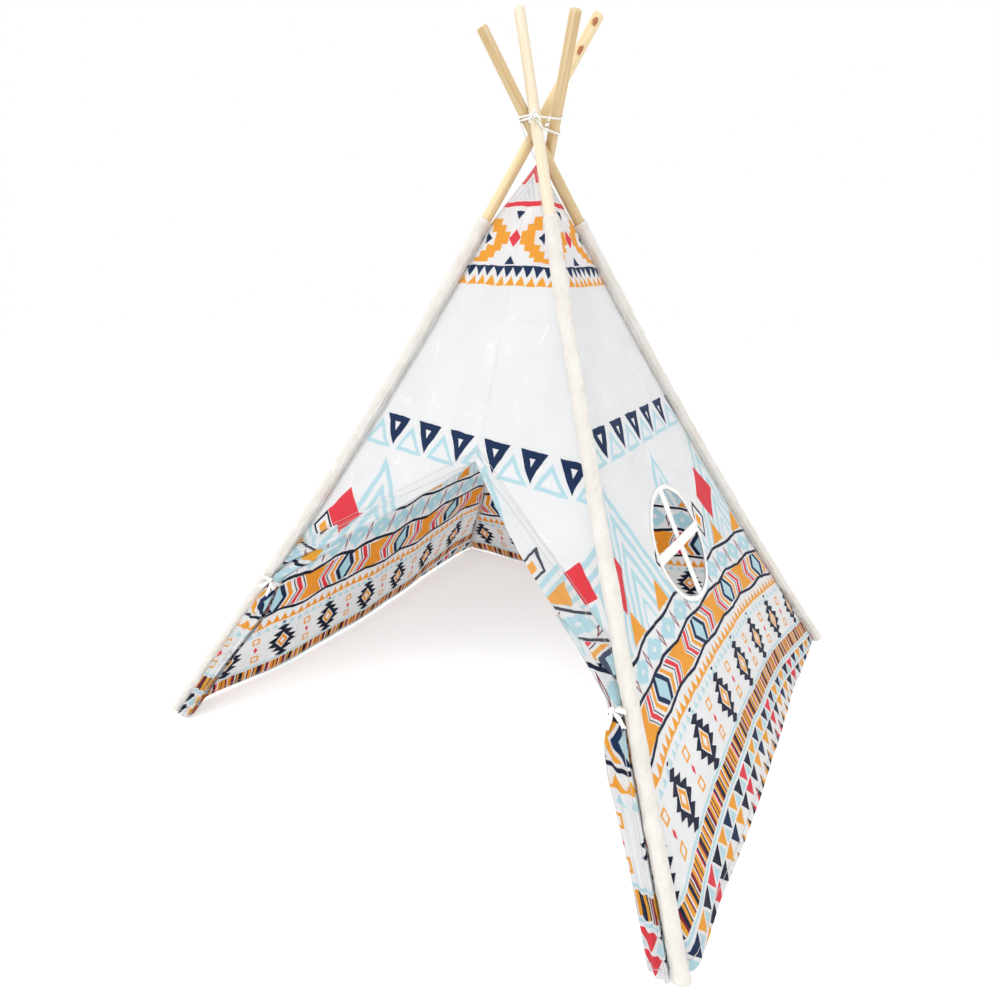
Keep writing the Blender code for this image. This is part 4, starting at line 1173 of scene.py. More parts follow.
# %% The slit's edge
SLIT_TOP_HEIGHT = 0.637
SLIT_TOP_OFFSET = 0.030       # the slit's top lies to the right of the panel's middle
TIE_HEIGHT = 0.330
FLAP_HEAD = 0.026             # from the tie up to the turned edge's corner
FACING_WIDTH_TIE = 0.042
FACING_WIDTH_TOP = 0.010
FACING_SAGS = {"left": 0.010, "right": 0.042}

door = PANELS["door_panel"]
tied_pole = POLES["front_left"]
corner_height = tied_pole.at(tied_pole.distance_at(TIE_HEIGHT) + FLAP_HEAD).z
corner_reach = float(door.half_width(np.array(corner_height)))


def slit_edge(side, run):
    """Share, lowest height and width of the turned edge. run is 0 at the tie and 1 at the slit's top."""
    height = corner_height + (SLIT_TOP_HEIGHT - corner_height) * run
    way = -1 if side == "left" else 1
    reach = corner_reach * way * (1 - run) + SLIT_TOP_OFFSET * run
    share = 0.5 + reach / (2 * door.half_width(height))
    width = FACING_WIDTH_TIE + (FACING_WIDTH_TOP - FACING_WIDTH_TIE) * run
    droop = FACING_SAGS[side] * np.sin(math.pi * run)
    return share, height - droop, width + droop


door.middle = float(slit_edge("left", np.array(1.0))[0])
runs = np.linspace(0, 1, 60)
slit_places = []
for side, order in (("left", runs), ("right", runs[::-1])):
    share, low, width = slit_edge(side, order)
    slit_places.append(np.stack([share, low + width]))
slit_places = np.concatenate(slit_places, axis=1)
door_lows = np.interp(panel_shares(door.middle), *slit_places)
for half in make_panel(door, door_lows):
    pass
print(f"slit: top {SLIT_TOP_HEIGHT} m up, corners {corner_height:.3f} m up")

# %% The turned edge
ROWS_BEHIND = 8
ROWS_IN_FRONT = 16
STRIP_ROWS = np.concatenate([
    np.linspace(1.10, 0.06, ROWS_BEHIND), [0.02, -0.012, -0.016, 0.0], np.linspace(0.05, 1.10, ROWS_IN_FRONT),
])
STRIP_LIFT = np.concatenate([
    np.full(ROWS_BEHIND, -0.0016), [-0.0010, 0.0004, 0.0024, 0.0040], np.zeros(ROWS_IN_FRONT),
])
FRONT_LIFT = 0.0016
ROLL = 0.0046                 # how far the turned cloth bulges
GATHER = 0.0026               # the depth of its folds
GATHER_FOLDS = 3.1            # how many lie side by side
TURNED_BACK = {"left": 0.020, "right": 0.090}      # how much lower on the print its cloth lies at the tie
FACING_LENGTH = 0.52
FACING_START = 0.02           # keeps the seam's stitches off the strip

for side, pole_name in (("left", "front_left"), ("right", "front_right")):
    order = np.linspace(0, 1, 73) if side == "left" else np.linspace(1, 0, 73)
    share, low, width = slit_edge(side, order)
    up = STRIP_ROWS[:, None]
    heights = low + width * up
    shares = np.broadcast_to(share, heights.shape)
    front = (np.arange(len(STRIP_ROWS)) >= len(STRIP_ROWS) - ROWS_IN_FRONT)[:, None]
    wander = np.array([soft_noise(run * 5, 0.3, 7.7 if side == "left" else 2.2) for run in order])
    folds = np.sin(2 * math.pi * (GATHER_FOLDS * up + 0.55 * wander)) * GATHER * (1 - order) ** 0.7
    folds = folds * np.sin(math.pi * np.clip(up, 0, 1))
    rounded = ROLL * np.sin(math.pi * np.clip(up * 0.86 + 0.14, 0, 1)) ** 0.7
    lift = STRIP_LIFT[:, None] + np.where(front, FRONT_LIFT + rounded + folds, 0)
    points = door.cloth(shares, heights, lift)
    along = np.broadcast_to(order * FACING_LENGTH, heights.shape)
    path = np.cumsum(np.abs(np.gradient(heights, axis=0)), axis=0)
    turned_back = print_map(door, shares, heights)
    turned_back[..., 1] -= TURNED_BACK[side] * (1 - 0.6 * order)
    maps = {"print": turned_back, "edge": np.stack([along + FACING_START, path.max(0) - path], axis=-1)}
    strip = shell(f"door_facing_{side}", points, 0.0008, maps)
    strip.data.materials.append(PRINT_REVERSE)
    turn = turn_shares(door.spots(shares), heights).ravel()
    bends(strip, f"door_facing_{side}")
print("turned edges on both sides of the slit")

# %% [markdown]
# ## The door's tails
# Below the tie each half of the door hangs beside its pole, down to the floor. It is one sheet folded to and
# fro like a curtain that is pushed aside: a broad front face with the print on it, and narrower layers
# behind. Under the ribbon the layers are pressed into a round bunch, and above it they spread flat behind
# the door's turned edge.

# %% A frame along the lower part of a front pole
FLAP_SEAT = 0.0168            # from the pole's line to the tail's near side
FLAP_WIDTH = 0.045
FLAP_DEPTH = 0.023
FLAP_THICKNESS = 0.0008
FLAP_PATH = 0.34              # the cloth's width when it is spread flat
FLAP_LAYERS = 8
NECK_RADIUS = 0.0110
RIBBON_WIDTH = 0.010
FLAP_PROFILE = (              # share of the way up, share of the width, share of the depth
    (0.00, 0.66, 0.86), (0.14, 0.66, 0.94), (0.34, 0.68, 0.96), (0.56, 0.78, 0.92), (0.74, 0.92, 0.90),
    (0.86, 0.86, 0.86), (0.94, 0.66, 0.84), (1.00, 0.49, 0.84), (1.02, 0.52, 0.84), (1.06, 0.94, 0.52),
    (1.16, 2.05, 0.10),
)
HEAD_SHARE = 0.16             # how far the cloth shows above the ribbon, as a share of the tie's distance
HEAD_SLANT = 1.15             # how steeply the head's upper edge climbs away from the pole
HEAD_SINK = 0.0125            # from the pole's line to behind the door's turned edge


class TailFrame:
    """Places beside a front pole: metres up the pole, across towards the door and outwards."""

    def __init__(self, side):
        pole = POLES["front_" + side]
        other = POLES["front_right" if side == "left" else "front_left"]
        self.foot = pole.foot
        self.tie_distance = pole.distance_at(TIE_HEIGHT)
        self.axis = (pole.at(self.tie_distance) - pole.foot).normalized()
        across = other.foot - pole.foot
        self.across = (across - across.project(self.axis)).normalized()
        self.outward = self.axis.cross(self.across)
        if self.outward.y > 0:
            self.outward.negate()

    def at(self, distance, across, outward):
        parts = ((distance, self.axis), (across, self.across), (outward, self.outward))
        return np.array(self.foot) + sum(np.asarray(size)[..., None] * np.array(way) for size, way in parts)


TAILS = {side: TailFrame(side) for side in ("left", "right")}


# %% The pleated sheets
FLOOR_GAP = 0.0062
ROUNDED_TURNS = 0.28          # how much a layer slows down towards its folds
UNEVEN_LAYERS = 0.18          # how much narrower a layer may be
LAYER_BULGE = 0.0030          # how far a layer's middle stands out
LAYER_FOLD = 0.0021           # the depth of the small folds along it
WAVER_OUT = 0.0030            # slow, uneven bends of the hanging cloth, outwards
WAVER_ACROSS = 0.035          # and sideways, as a share of the width
RIPPLE_OUT = 0.0012           # quicker, smaller bends
HEM_WAVER = 0.0022
PRINT_DROP = 0.022
PRINT_STARTS = {"left": 0.12, "right": 0.275}      # where on the print each tail's near side lies


def tail_grid(side):
    """A tail's points, their distances up the pole, and their shares across the sheet and up the tail."""
    tail = TAILS[side]
    seed = 60.0 if side == "left" else 75.0
    up = np.concatenate([np.linspace(0, 0.99, 66), np.linspace(1.0, 1 + HEAD_SHARE, 20)])[:, None]
    around = np.linspace(0, 1, FLAP_LAYERS * 18 + 1)[None, :]
    profile = np.array(FLAP_PROFILE)
    wide = np.interp(up, profile[:, 0], profile[:, 1]) * FLAP_WIDTH
    deep = np.interp(up, profile[:, 0], profile[:, 2]) * FLAP_DEPTH / 2
    drift, swell = (
        np.array([[soft_noise(a * fine, u * tall, seed + more) for a in around[0]] for u in up[:, 0]])
        for fine, tall, more in ((4, 2.4, 0), (9, 4.5, 4))
    )
    bunched = smooth_step(up, 0.84, 0.98)
    # Even layers run away from the pole and odd ones back to it. Some are a little narrower.
    layer = np.floor(around * FLAP_LAYERS)
    run = around * FLAP_LAYERS - layer
    there = (1 - ROUNDED_TURNS) * run + ROUNDED_TURNS * (0.5 - 0.5 * np.cos(math.pi * run))
    place = np.where(layer % 2 == 0, there, 1 - there)
    narrower = (layer / FLAP_LAYERS) * np.sin(2.3 * layer + 1) ** 2
    place = 0.5 + (place - 0.5) * (1 - UNEVEN_LAYERS * (1 - bunched) * narrower)
    # The layers lie one behind the other, and in a half round under the ribbon.
    behind = 1 - 2 * around
    round_off = np.sqrt(np.clip(1 - (place * 2 - 1) ** 2, 0.12, 1))
    bulge = np.sin(math.pi * place) * LAYER_BULGE
    bulge = bulge + np.sin(2 * math.pi * (2.3 * place + 0.35 * drift)) * LAYER_FOLD
    loose = (1 - bunched) + smooth_step(up, 1.05, 1.14)
    outward = behind * deep * (1 - bunched + bunched * round_off) + bulge * loose
    outward = outward - HEAD_SINK * smooth_step(up, 1.02, 1.12)
    outward = outward + (RIPPLE_OUT * swell + WAVER_OUT * drift) * (1 - bunched)
    across = FLAP_SEAT + wide * (place + WAVER_ACROSS * drift * (1 - bunched))
    # The lowest row ends just above the floor, although the pole leans.
    low = FLOOR_GAP + HEM_WAVER * drift[:1]
    lift = low - tail.foot.z - tail.across.z * across[:1] - tail.outward.z * outward[:1]
    start = lift / tail.axis.z
    top = tail.tie_distance * HEAD_SHARE + HEAD_SLANT * (across[-1:] - FLAP_SEAT)
    above = np.clip((up - 1) / HEAD_SHARE, 0, 1)
    distance = start + (tail.tie_distance - start) * np.minimum(up, 1) + top * above
    return tail.at(distance, across, outward), distance, around, up


for side in ("left", "right"):
    points, distance, around, up = tail_grid(side)
    if side == "right":
        points, distance = points[:, ::-1], distance[:, ::-1]
    across_map = np.broadcast_to(PRINT_STARTS[side] + around * FLAP_PATH, distance.shape)
    from_edge = np.broadcast_to(np.minimum(around, 1 - around) * FLAP_PATH, distance.shape)
    maps = {
        "print": np.stack([across_map, points[..., 2] + PRINT_DROP], axis=-1),
        "edge": np.stack([from_edge, distance - distance[:1]], axis=-1),
    }
    flap = shell(f"door_flap_{side}", points, FLAP_THICKNESS, maps)
    flap.data.materials.append(PRINTED_COTTON)
    tie = Vector(TAILS[side].at(TAILS[side].tie_distance, 0.0, 0.0))
    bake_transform(flap)
    # Each point's share of the pole's turn: 1 up to the ribbon, falling to 0 at the head's top.
    turn = np.broadcast_to(1 - smooth_step(up, 1.01, 1 + HEAD_SHARE), distance.shape).ravel()
    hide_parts(f"door_flap_{side}")
print(f"tails folded into {FLAP_LAYERS} layers from {FLAP_PATH} m of cloth")


# %% [markdown]
# ## The ribbon bows
# Each tail is tied with a white cotton ribbon: a band round its neck and a bow in front. Ribbon is stiff
# across its width, so each part is a strip along a line, with its width turned on purpose at each point.

# %% Ribbon
def ribbon(name, line, widths, ways, thickness=0.0007, cut=0.0):
    """A strip along a line. ways are the directions of its width, and cut slants its end."""
    line, ways = np.asarray(line), np.asarray(ways)
    ways = ways / np.linalg.norm(ways, axis=1, keepdims=True)
    places = np.linspace(-0.5, 0.5, 5)
    points = line[:, None] + ways[:, None] * (np.asarray(widths)[:, None] * places)[..., None]
    direction = line[-1] - line[-2]
    points[-1] += direction / np.linalg.norm(direction) * (places[:, None] * cut)
    along = np.cumsum(np.linalg.norm(np.gradient(line, axis=0), axis=1))
    across = places * float(np.max(widths))
    maps = {"cloth": np.stack(np.broadcast_arrays(across[None, :], along[:, None]), axis=-1)}
    return shell(name, points, thickness, maps)


# %% The bows
BAND_REACH = 0.0121           # from the neck's middle
KNOT_REACH = 0.0162
WRAP_WIDTH = 0.0078
WRAP_DEPTH = 0.0034           # how far the wrap reaches in front of the knot's middle
WRAP_HEIGHT = 0.0052          # and above it
LOOP_REACH = 0.0205
LOOP_WIDTH = 0.0086
LOOP_PUFF = 0.0052            # how far a loop's two sides stand apart from its middle
LOOP_SAG = 0.0050
END_DROP = 0.0260
END_WIDTH = 0.0078
END_SPREAD = 0.0125
END_SLANT = 0.006

for side in ("left", "right"):
    tail = TAILS[side]
    axis, across, outward = (np.array(way) for way in (tail.axis, tail.across, tail.outward))
    neck = tail.at(tail.tie_distance, FLAP_SEAT + NECK_RADIUS, 0.0)
    turn = np.linspace(0, 2 * math.pi * 1.04, 49)[:, None]
    reach = BAND_REACH + 0.0006 * turn / (2 * math.pi)
    line = neck + (outward * np.cos(turn) + across * np.sin(turn)) * reach
    parts = [ribbon(f"tie_{side}_band", line, np.full(49, RIBBON_WIDTH), np.tile(axis, (49, 1)))]
    knot = neck + outward * KNOT_REACH
    turn = np.linspace(0, 2 * math.pi * 1.06, 25)[:, None]
    line = knot + outward * np.cos(turn) * WRAP_DEPTH + axis * np.sin(turn) * WRAP_HEIGHT
    parts.append(ribbon(f"tie_{side}_wrap", line, np.full(25, WRAP_WIDTH), np.tile(across, (25, 1))))
    for way, ending in ((-1, "near"), (1, "far")):
        t = np.linspace(0, 1, 33)[:, None]
        out = np.sin(math.pi * t)
        line = knot + across * way * (0.0022 + LOOP_REACH * out)
        line = line + outward * LOOP_PUFF * np.sin(2 * math.pi * t)
        line = line - axis * (LOOP_SAG * out ** 2) + outward * 0.0012
        widths = LOOP_WIDTH * (0.42 + 0.58 * out[:, 0])
        ways = axis + across * way * 0.22 * out + outward * 0.10 * out
        parts.append(ribbon(f"tie_{side}_loop_{ending}", line, widths, ways))
        line = knot + across * way * (0.0025 + END_SPREAD * t) - axis * (0.0030 + END_DROP * t)
        line = line + outward * (0.0010 - 0.0030 * np.sin(math.pi * t) + 0.0020 * t)
        widths = END_WIDTH * (0.5 + 0.5 * smooth_step(t[:, 0], 0, 0.25))
        ways = across + axis * way * 0.40 + outward * 0.35 * np.sin(2 * math.pi * t)
        parts.append(ribbon(f"tie_{side}_end_{ending}", line, widths, ways, cut=END_SLANT * way))
    for part in parts:
        rides(part, f"flap_{side}", f"tie_{side}", WHITE_TAPE)
print("a band, a wrap, two loops and two ends on each side")

# %% [markdown]
# ## The sleeves
# A sleeve is a canvas tube sewn from one strip, a little loose on its pole. Its mouth is hemmed, its foot is
# sewn shut, and the aluminium joints inside press their shape through. The tube starts at the middle of the
# foot, climbs to the mouth, turns over the rim and ends a centimetre down inside.

# %% The sleeves
CLOTH_RADIUS = 0.0128         # to the middle of the cloth
FOOT_CLIMB = (-0.0025, -0.0025, -0.0025, -0.0025, -0.0025, -0.0020, -0.0010, 0.0010, 0.0035)
FOOT_RADII = (0.0004, 0.0045, 0.0085, 0.0112, 0.0126, 0.0134, 0.0140, 0.0144, 0.0143)
MOUTH_DROPS = (0.0135, 0.0120, 0.0105, 0.0070, 0.0035, 0.0012, 0.0001, 0.0001, 0.0015, 0.0060, 0.0110)
MOUTH_RADII = (0.0138, 0.0132, 0.0139, 0.0144, 0.0145, 0.0143, 0.0137, 0.0127, 0.0124, 0.0123, 0.0123)
FERRULE_PLACES = (0.5757, 1.1513)
FERRULE_ENDS = (0.030, 0.041)      # a joint's bump falls away between these distances from its middle
FERRULE_BUMP = 0.0011
RIDGE_HEIGHT = 0.0014         # the two seams along the sleeve
RIDGE_ANGLE = 0.16
SEAM_ANGLES = (SEAM_ANGLE, 2 * math.pi - SEAM_ANGLE)
SLEEVE_SLACK = 0.0008         # the depths of its long, middling and short wrinkles
SLEEVE_WRINKLE = 0.0016
SLEEVE_CREASE = 0.0015
SLEEVE_TIGHTEST = 0.0004      # how far the cloth may lie nearer to the pole
SLEEVE_MAP_RADIUS = 0.0155    # makes metres of cloth from an angle


def sleeve_point(pole, distance, radius, angle, loose, bump, seed):
    """A point of the sleeve. loose is 0 where the cloth is sewn and bump is 1 over a joint."""
    round_x, round_y = math.cos(angle), math.sin(angle)
    wrinkle = soft_noise(distance * 26 + round_x * 1.1, round_y * 1.3 + round_x * 0.8, seed)
    crease = soft_noise(distance * 70 + round_y * 1.5, round_x * 1.4, seed + 4)
    slack = soft_noise(distance * 7, round_x * 0.7 + 3 * round_y, seed + 7)
    give = SLEEVE_WRINKLE * wrinkle + SLEEVE_CREASE * crease + SLEEVE_SLACK * slack
    give = max(give, -SLEEVE_TIGHTEST)
    ridge = RIDGE_HEIGHT * sum(math.exp(-((angle - seam) / RIDGE_ANGLE) ** 2) for seam in SEAM_ANGLES)
    reach = radius + loose * (ridge + give * (1 - 0.5 * bump)) + FERRULE_BUMP * bump * loose
    way = pole.inward * round_x + pole.sideways * round_y
    return pole.at(distance) + way * max(reach, 0.0004)


for number, (name, pole) in enumerate(POLES.items()):
    mouth = pole.distance_at(SLEEVE_TOP_HEIGHT)
    length = np.linspace(0.007, mouth - 0.016, 250)
    climb = np.concatenate([FOOT_CLIMB, length, mouth - np.array(MOUTH_DROPS)])
    radii = np.concatenate([FOOT_RADII, np.full(len(length), CLOTH_RADIUS), MOUTH_RADII])
    angles = np.linspace(0, 2 * math.pi, 49)
    points = np.zeros((len(climb), len(angles), 3))
    for row, (distance, radius) in enumerate(zip(climb, radii)):
        loose = smooth_step(distance, 0.002, 0.03) * (1 - smooth_step(distance, mouth - 0.03, mouth - 0.012))
        bump = sum(1 - smooth_step(abs(distance - place), *FERRULE_ENDS) for place in FERRULE_PLACES)
        for column, angle in enumerate(angles):
            points[row, column] = sleeve_point(pole, distance, radius, angle, loose, bump, number * 9.0)
    points[..., 2] = np.maximum(points[..., 2], 0.0006)
    across_map = angles[None, :] * SLEEVE_MAP_RADIUS
    cloth_map = np.stack(np.broadcast_arrays(across_map, climb[:, None]), axis=-1)
    sleeve = shell(f"sleeve_{name}", points, 0.0011, {"cloth": cloth_map})
    rides(sleeve, f"pole_{name}", f"sleeve_{name}", CANVAS)
print(f"sleeves up to {SLEEVE_TOP_HEIGHT} m")

# %% [markdown]
# ## The poles
# Only the upper sections show. Each is a planed round rod, so rings along the pole's line are enough, with
# the end's edge eased as a planed rod's is. The map runs round and along it in metres, for the grain.


# %% Round pieces along a line
def carried_sides(line):
    """The line's directions, and beside each a direction across it that turns as little as possible."""
    directions = np.gradient(line, axis=0)
    directions /= np.linalg.norm(directions, axis=1, keepdims=True)
    side = np.cross(directions[0], (0.31, 0.22, 0.93))
    sides = []
    for direction in directions:
        side = side - direction * np.dot(side, direction)
        side = side / np.linalg.norm(side)
        sides.append(side)
    return directions, np.array(sides)


def round_piece(name, line, radii, count=10, title="cloth", start=0.0):
    """A round rod or cord along a line, with a map of metres round and along it."""
    line = np.asarray(line)
    directions, sides = carried_sides(line)
    others = np.cross(directions, sides)
    angles = np.arange(count) * 2 * math.pi / count
    ways = sides[:, None] * np.cos(angles)[None, :, None] + others[:, None] * np.sin(angles)[None, :, None]
    rings = line[:, None] + ways * np.asarray(radii)[:, None, None]
    along = start + np.concatenate([[0], np.cumsum(np.linalg.norm(np.diff(line, axis=0), axis=1))])
    girth = 2 * math.pi * float(np.max(radii))
    values = [(girth * step / count, place) for place in along for step in range(count)]
    piece = sweep(name, [[Vector(p) for p in ring] for ring in rings], {title: values})
    layer = piece.data.uv_layers[title]
    spots = np.zeros(2 * len(layer.uv), np.float32)
    layer.uv.foreach_get("vector", spots)
    spots = spots.reshape(-1, 2)
    for polygon in piece.data.polygons:
        loops = list(polygon.loop_indices)
        if np.ptp(spots[loops, 0]) > girth / 2:
            spots[loops, 0] += girth * (spots[loops, 0] < girth / 2)
    layer.uv.foreach_set("vector", spots.ravel())
    return piece


# %% The rods
ROD_START = 1.156             # the upper section begins in the upper joint
EASED_END = ((0.0020, 0.0109), (0.0008, 0.0104), (0.0, 0.0096))      # distance from the end, and radius there

end_drops, end_radii = np.array(EASED_END).T
for name, pole in POLES.items():
    places = np.concatenate([np.linspace(ROD_START, POLE_LENGTH - 0.0035, 90), POLE_LENGTH - end_drops])
    radii = np.concatenate([np.full(90, POLE_RADIUS), end_radii])
    rod = round_piece(f"pole_{name}_upper", [pole.at(p) for p in places], radii, 32, "grain", places[0])
    rides(rod, f"pole_{name}", f"pole_{name}_upper", PINES[name])
    for node, material in (
        (f"pole_{name}_lower", PINES[name]),
        (f"pole_{name}_middle", PINES[name]),
        (f"ferrule_{name}_lower", ALUMINIUM),
        (f"ferrule_{name}_upper", ALUMINIUM),
    ):
        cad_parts[node].data.materials.clear()
        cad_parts[node].data.materials.append(material)
print(f"poles of {2 * POLE_RADIUS * 1000:.0f} mm, {POLE_LENGTH} m long")

# %% [markdown]
# ## The lashing
# A thin white cord goes twice round the four poles where they cross and is knotted in front. It takes the
# shortest way round: at each angle it touches the pole that stands out furthest, and in between it runs
# straight. Laid cord is three strands twisted together, so three thin rods wind round the cord's line.

# %% The cord's way round the poles
LASHING_DROP = 0.024          # how far the cord lies under the crossing
CORD_RADIUS = 0.0020
CORD_GAP = 0.00045
CORD_PITCH = 0.0052           # how far the cord climbs in a turn, if it isn't spread
CORD_TURNS = 2
POINTS_PER_TURN = 24
CORD_SPREAD_SHARE = 4.6       # how much further its turns lie apart on one side
KNOT_SIDE = math.radians(-70)
LAY_LENGTH = 0.0075           # of one twist of the strands


def touching_point(pole, normal, height):
    """The point of a leaning round pole, cut level at a height, that stands out furthest along normal."""
    slope = pole.end_slope
    centre = pole.crossing + slope * ((height - pole.crossing.z) / slope.z)
    lean = Vector((slope.x, slope.y, 0)).normalized()
    beside = lean.cross(UP)
    long_part = lean * (normal.dot(lean) * (POLE_RADIUS / slope.z) ** 2)
    short_part = beside * (normal.dot(beside) * POLE_RADIUS ** 2)
    reach = long_part + short_part
    return centre + reach / math.sqrt(reach.dot(normal))


def lashed_point(turns):
    angle = KNOT_SIDE + 2 * math.pi * turns
    normal = Vector((math.cos(angle), math.sin(angle), 0))
    spread = CORD_SPREAD_SHARE * max(0, math.sin(2 * math.pi * turns)) ** 2
    height = CROSSING_HEIGHT - LASHING_DROP + (turns - CORD_TURNS / 2) * CORD_PITCH * (1 + spread)
    points = [touching_point(pole, normal, height) for pole in POLES.values()]
    return max(points, key=normal.dot) + normal * (CORD_GAP + CORD_RADIUS)


def even_line(points, step):
    """The same line with a point every step, its corners softened over a few steps."""
    points = np.array([tuple(p) for p in points])
    lengths = np.concatenate([[0], np.cumsum(np.linalg.norm(np.diff(points, axis=0), axis=1))])
    places = np.linspace(0, lengths[-1], int(lengths[-1] / step) + 1)
    line = np.stack([np.interp(places, lengths, points[:, i]) for i in range(3)], axis=1)
    for _ in range(6):
        line[1:-1] = (line[:-2] + 2 * line[1:-1] + line[2:]) / 4
    return line


def laid_cord(name, line, node, radius=CORD_RADIUS):
    """Three strands twisted round a line."""
    directions, sides = carried_sides(line)
    others = np.cross(directions, sides)
    lengths = np.concatenate([[0], np.cumsum(np.linalg.norm(np.diff(line, axis=0), axis=1))])
    for strand in range(3):
        turn = (2 * math.pi * (lengths / LAY_LENGTH + strand / 3))[:, None]
        winding = line + (sides * np.cos(turn) + others * np.sin(turn)) * (radius * 0.50)
        radii = np.full(len(line), radius * 0.54)
        radii[[0, -1]] *= 0.7
        piece = round_piece(f"{name}_strand_{strand + 1}", winding, radii, 8)
        rides(piece, "cover", node, WHITE_CORD)
    return lengths[-1]


steps = [step / POINTS_PER_TURN for step in range(CORD_TURNS * POINTS_PER_TURN + 1)]
route = [lashed_point(turns) for turns in steps]
lashing = laid_cord("lashing_cord", even_line(route, 0.0010), "lashing_cord")
print(f"{lashing:.3f} m of cord in the lashing")

# %% The knot and its two short ends
KNOT_SIZE = (0.015, 0.019, 0.009)
KNOT_WEAVE = 0.0023           # how far the loops pass over and under each other
KNOT_END_DROP = 0.0125
knot_up = (route[-1] - route[0]).normalized()
knot_out = Vector((math.cos(KNOT_SIDE), math.sin(KNOT_SIDE), 0))
knot_out = (knot_out - knot_out.project(knot_up)).normalized()
knot_across = knot_up.cross(knot_out)
knot_middle = (route[0] + route[-1]) / 2 + knot_out * (2 * CORD_RADIUS + 0.0003 + KNOT_SIZE[2] / 2)
knot_up, knot_out, knot_across, knot_middle = (
    np.array(way) for way in (knot_up, knot_out, knot_across, knot_middle)
)
turn = np.linspace(0, 2 * math.pi, 121)[:, None]
wide = (KNOT_SIZE[0] / 2 - CORD_RADIUS) / 3
tall = (KNOT_SIZE[1] / 2 - CORD_RADIUS) / 3
loops = knot_middle + knot_across * wide * (np.sin(turn) + 2 * np.sin(2 * turn))
loops = loops + knot_up * tall * (np.cos(turn) - 2 * np.cos(2 * turn))
loops = loops - knot_out * KNOT_WEAVE * np.sin(3 * turn)
laid_cord("lashing_knot", loops, "lashing_knot", 0.0019)
for way, ending in ((-1, "left"), (1, "right")):
    t = np.linspace(0, 1, 20)[:, None]
    line = knot_middle + knot_across * way * (0.0030 + 0.0075 * t)
    line = line - knot_up * (0.0020 + KNOT_END_DROP * t ** 1.4) + knot_out * 0.0030 * np.sin(math.pi * t)
    laid_cord(f"lashing_knot_end_{ending}", line, "lashing_knot", 0.0018)
print("a knot of three loops with two ends")

# %% The tape that holds up the cover's tip
TAPE_WIDTH = 0.0060
TAPE_SIDE = math.radians(-130)
strand_step = round(((TAPE_SIDE - KNOT_SIDE) % (2 * math.pi)) / (2 * math.pi) * POINTS_PER_TURN)
hang = np.array(route[strand_step])
tip = np.array((CENTRE.x, CENTRE.y, APEX_HEIGHT + 0.0005))
over = np.array((math.cos(TAPE_SIDE), math.sin(TAPE_SIDE), 0)) * (CORD_RADIUS + 0.0006)
t = np.linspace(0, 1, 30)[:, None]
sag = np.sin(math.pi * t) * np.array((0, 0, 0.003))
line = (hang + over) * (1 - t) + tip * t - sag
side_way = np.cross(tip - hang, over)
twist = np.cross(tip - hang, side_way)
side_way, twist = (way / np.linalg.norm(way) for way in (side_way, twist))
lean = 0.5 * np.sin(math.pi * t)
ways = side_way * np.cos(lean) + twist * np.sin(lean)
tape = ribbon("apex_tape", line, np.full(30, TAPE_WIDTH), ways, 0.0009)
rides(tape, "cover", "apex_tape", WHITE_TAPE)
print("tape from the cord to the tip")

# %% [markdown]
# ## Floor and light
# The object stands on a white floor in an even white studio. The room lights it from all round, and one
# large soft lamp from the upper left gives the cloth its shape. The camera sees the floor and the room a
# little brighter than they light the object, so they read as white while the shadow stays.

# %% Floor
FLOOR_REACH = 9.0
FLOOR_GLOW = 0.36

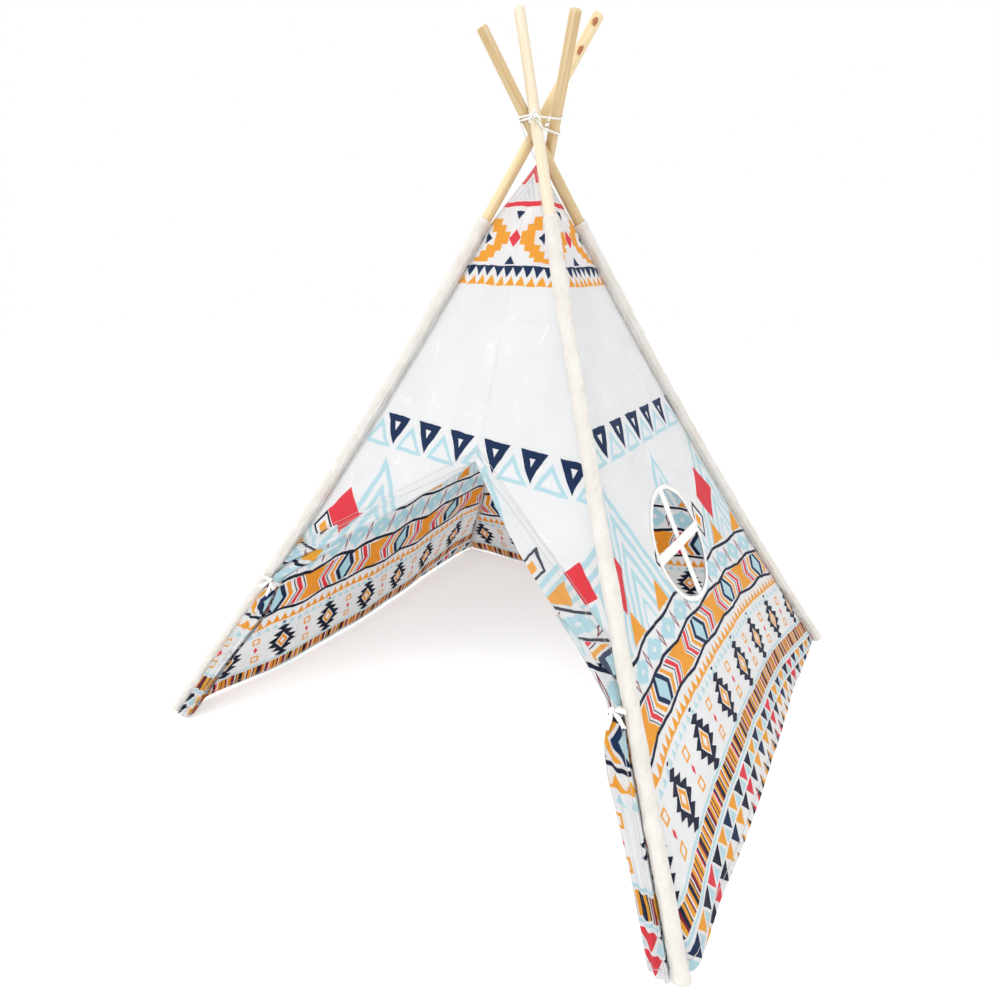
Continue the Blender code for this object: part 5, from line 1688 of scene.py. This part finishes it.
floor_material, tree = new_material("matt white studio floor")
seen = add_node(tree, "LightPath").node
soft_tone = add_node(tree, "TexNoise", {"Scale": 1.3, "Detail": 2.0})
tone = add_node(tree, "MapRange", {"Value": soft_tone, "To Min": 0.90, "To Max": 0.94})
paint = add_node(tree, "BsdfDiffuse", {"Color": tone, "Roughness": 0.4})
glow = add_node(tree, "Math", {0: seen.outputs["Is Camera Ray"], 1: FLOOR_GLOW}, operation="MULTIPLY")
lit = add_node(tree, "Emission", {"Color": (1.0, 1.0, 1.0, 1.0), "Strength": glow})
surface_of(tree, add_node(tree, "AddShader", {0: paint, 1: lit}))
corners = [(x * FLOOR_REACH, y * FLOOR_REACH, 0) for x, y in CORNER_SHARES.values()]
floor = new_piece("floor", corners, [(0, 1, 2, 3)])
floor.data.materials.append(floor_material)
floor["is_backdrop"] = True

# %% Room and lamp
ROOM_STRENGTH = 1.14
LAMP_STRENGTH = 0.90
LAMP_SPREAD = math.radians(34)
LAMP_TURNS = (math.radians(38), math.radians(8), math.radians(-28))
WARM_WHITE = (1.0, 0.985, 0.965)

room = bpy.data.worlds.new("white room")
room.use_nodes = True
room.node_tree.nodes.clear()
tree = room.node_tree
seen = add_node(tree, "LightPath").node
direct = add_node(tree, "Math", {
    0: seen.outputs["Is Camera Ray"], 1: seen.outputs["Is Glossy Ray"],
}, operation="MAXIMUM")
direct = add_node(tree, "Math", {0: direct, 1: seen.outputs["Is Transmission Ray"]}, operation="MAXIMUM")
strength = add_node(tree, "MapRange", {"Value": direct, "To Min": ROOM_STRENGTH, "To Max": 1.0})
light = add_node(tree, "Background", {"Color": (1.0, 1.0, 1.0, 1.0), "Strength": strength})
add_node(tree, "OutputWorld", {"Surface": light})
bpy.context.scene.world = room

lamp_data = bpy.data.lights.new("soft lamp", "SUN")
lamp_data.energy = LAMP_STRENGTH
lamp_data.angle = LAMP_SPREAD
lamp_data.color = WARM_WHITE
lamp = bpy.data.objects.new("soft lamp", lamp_data)
lamp.rotation_euler = LAMP_TURNS
bpy.context.scene.collection.objects.link(lamp)
bpy.context.scene.view_settings.view_transform = "Standard"

# %% Sizes and finish
dressed_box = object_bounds()
for way, axis in (("x", 0), ("y", 1), ("z", 2)):
    low = solid_box[0][axis] - dressed_box[0][axis]
    high = dressed_box[1][axis] - solid_box[1][axis]
    print(f"along {way} the pieces stand out of the solids' box by {low:.4f} and {high:.4f} m")
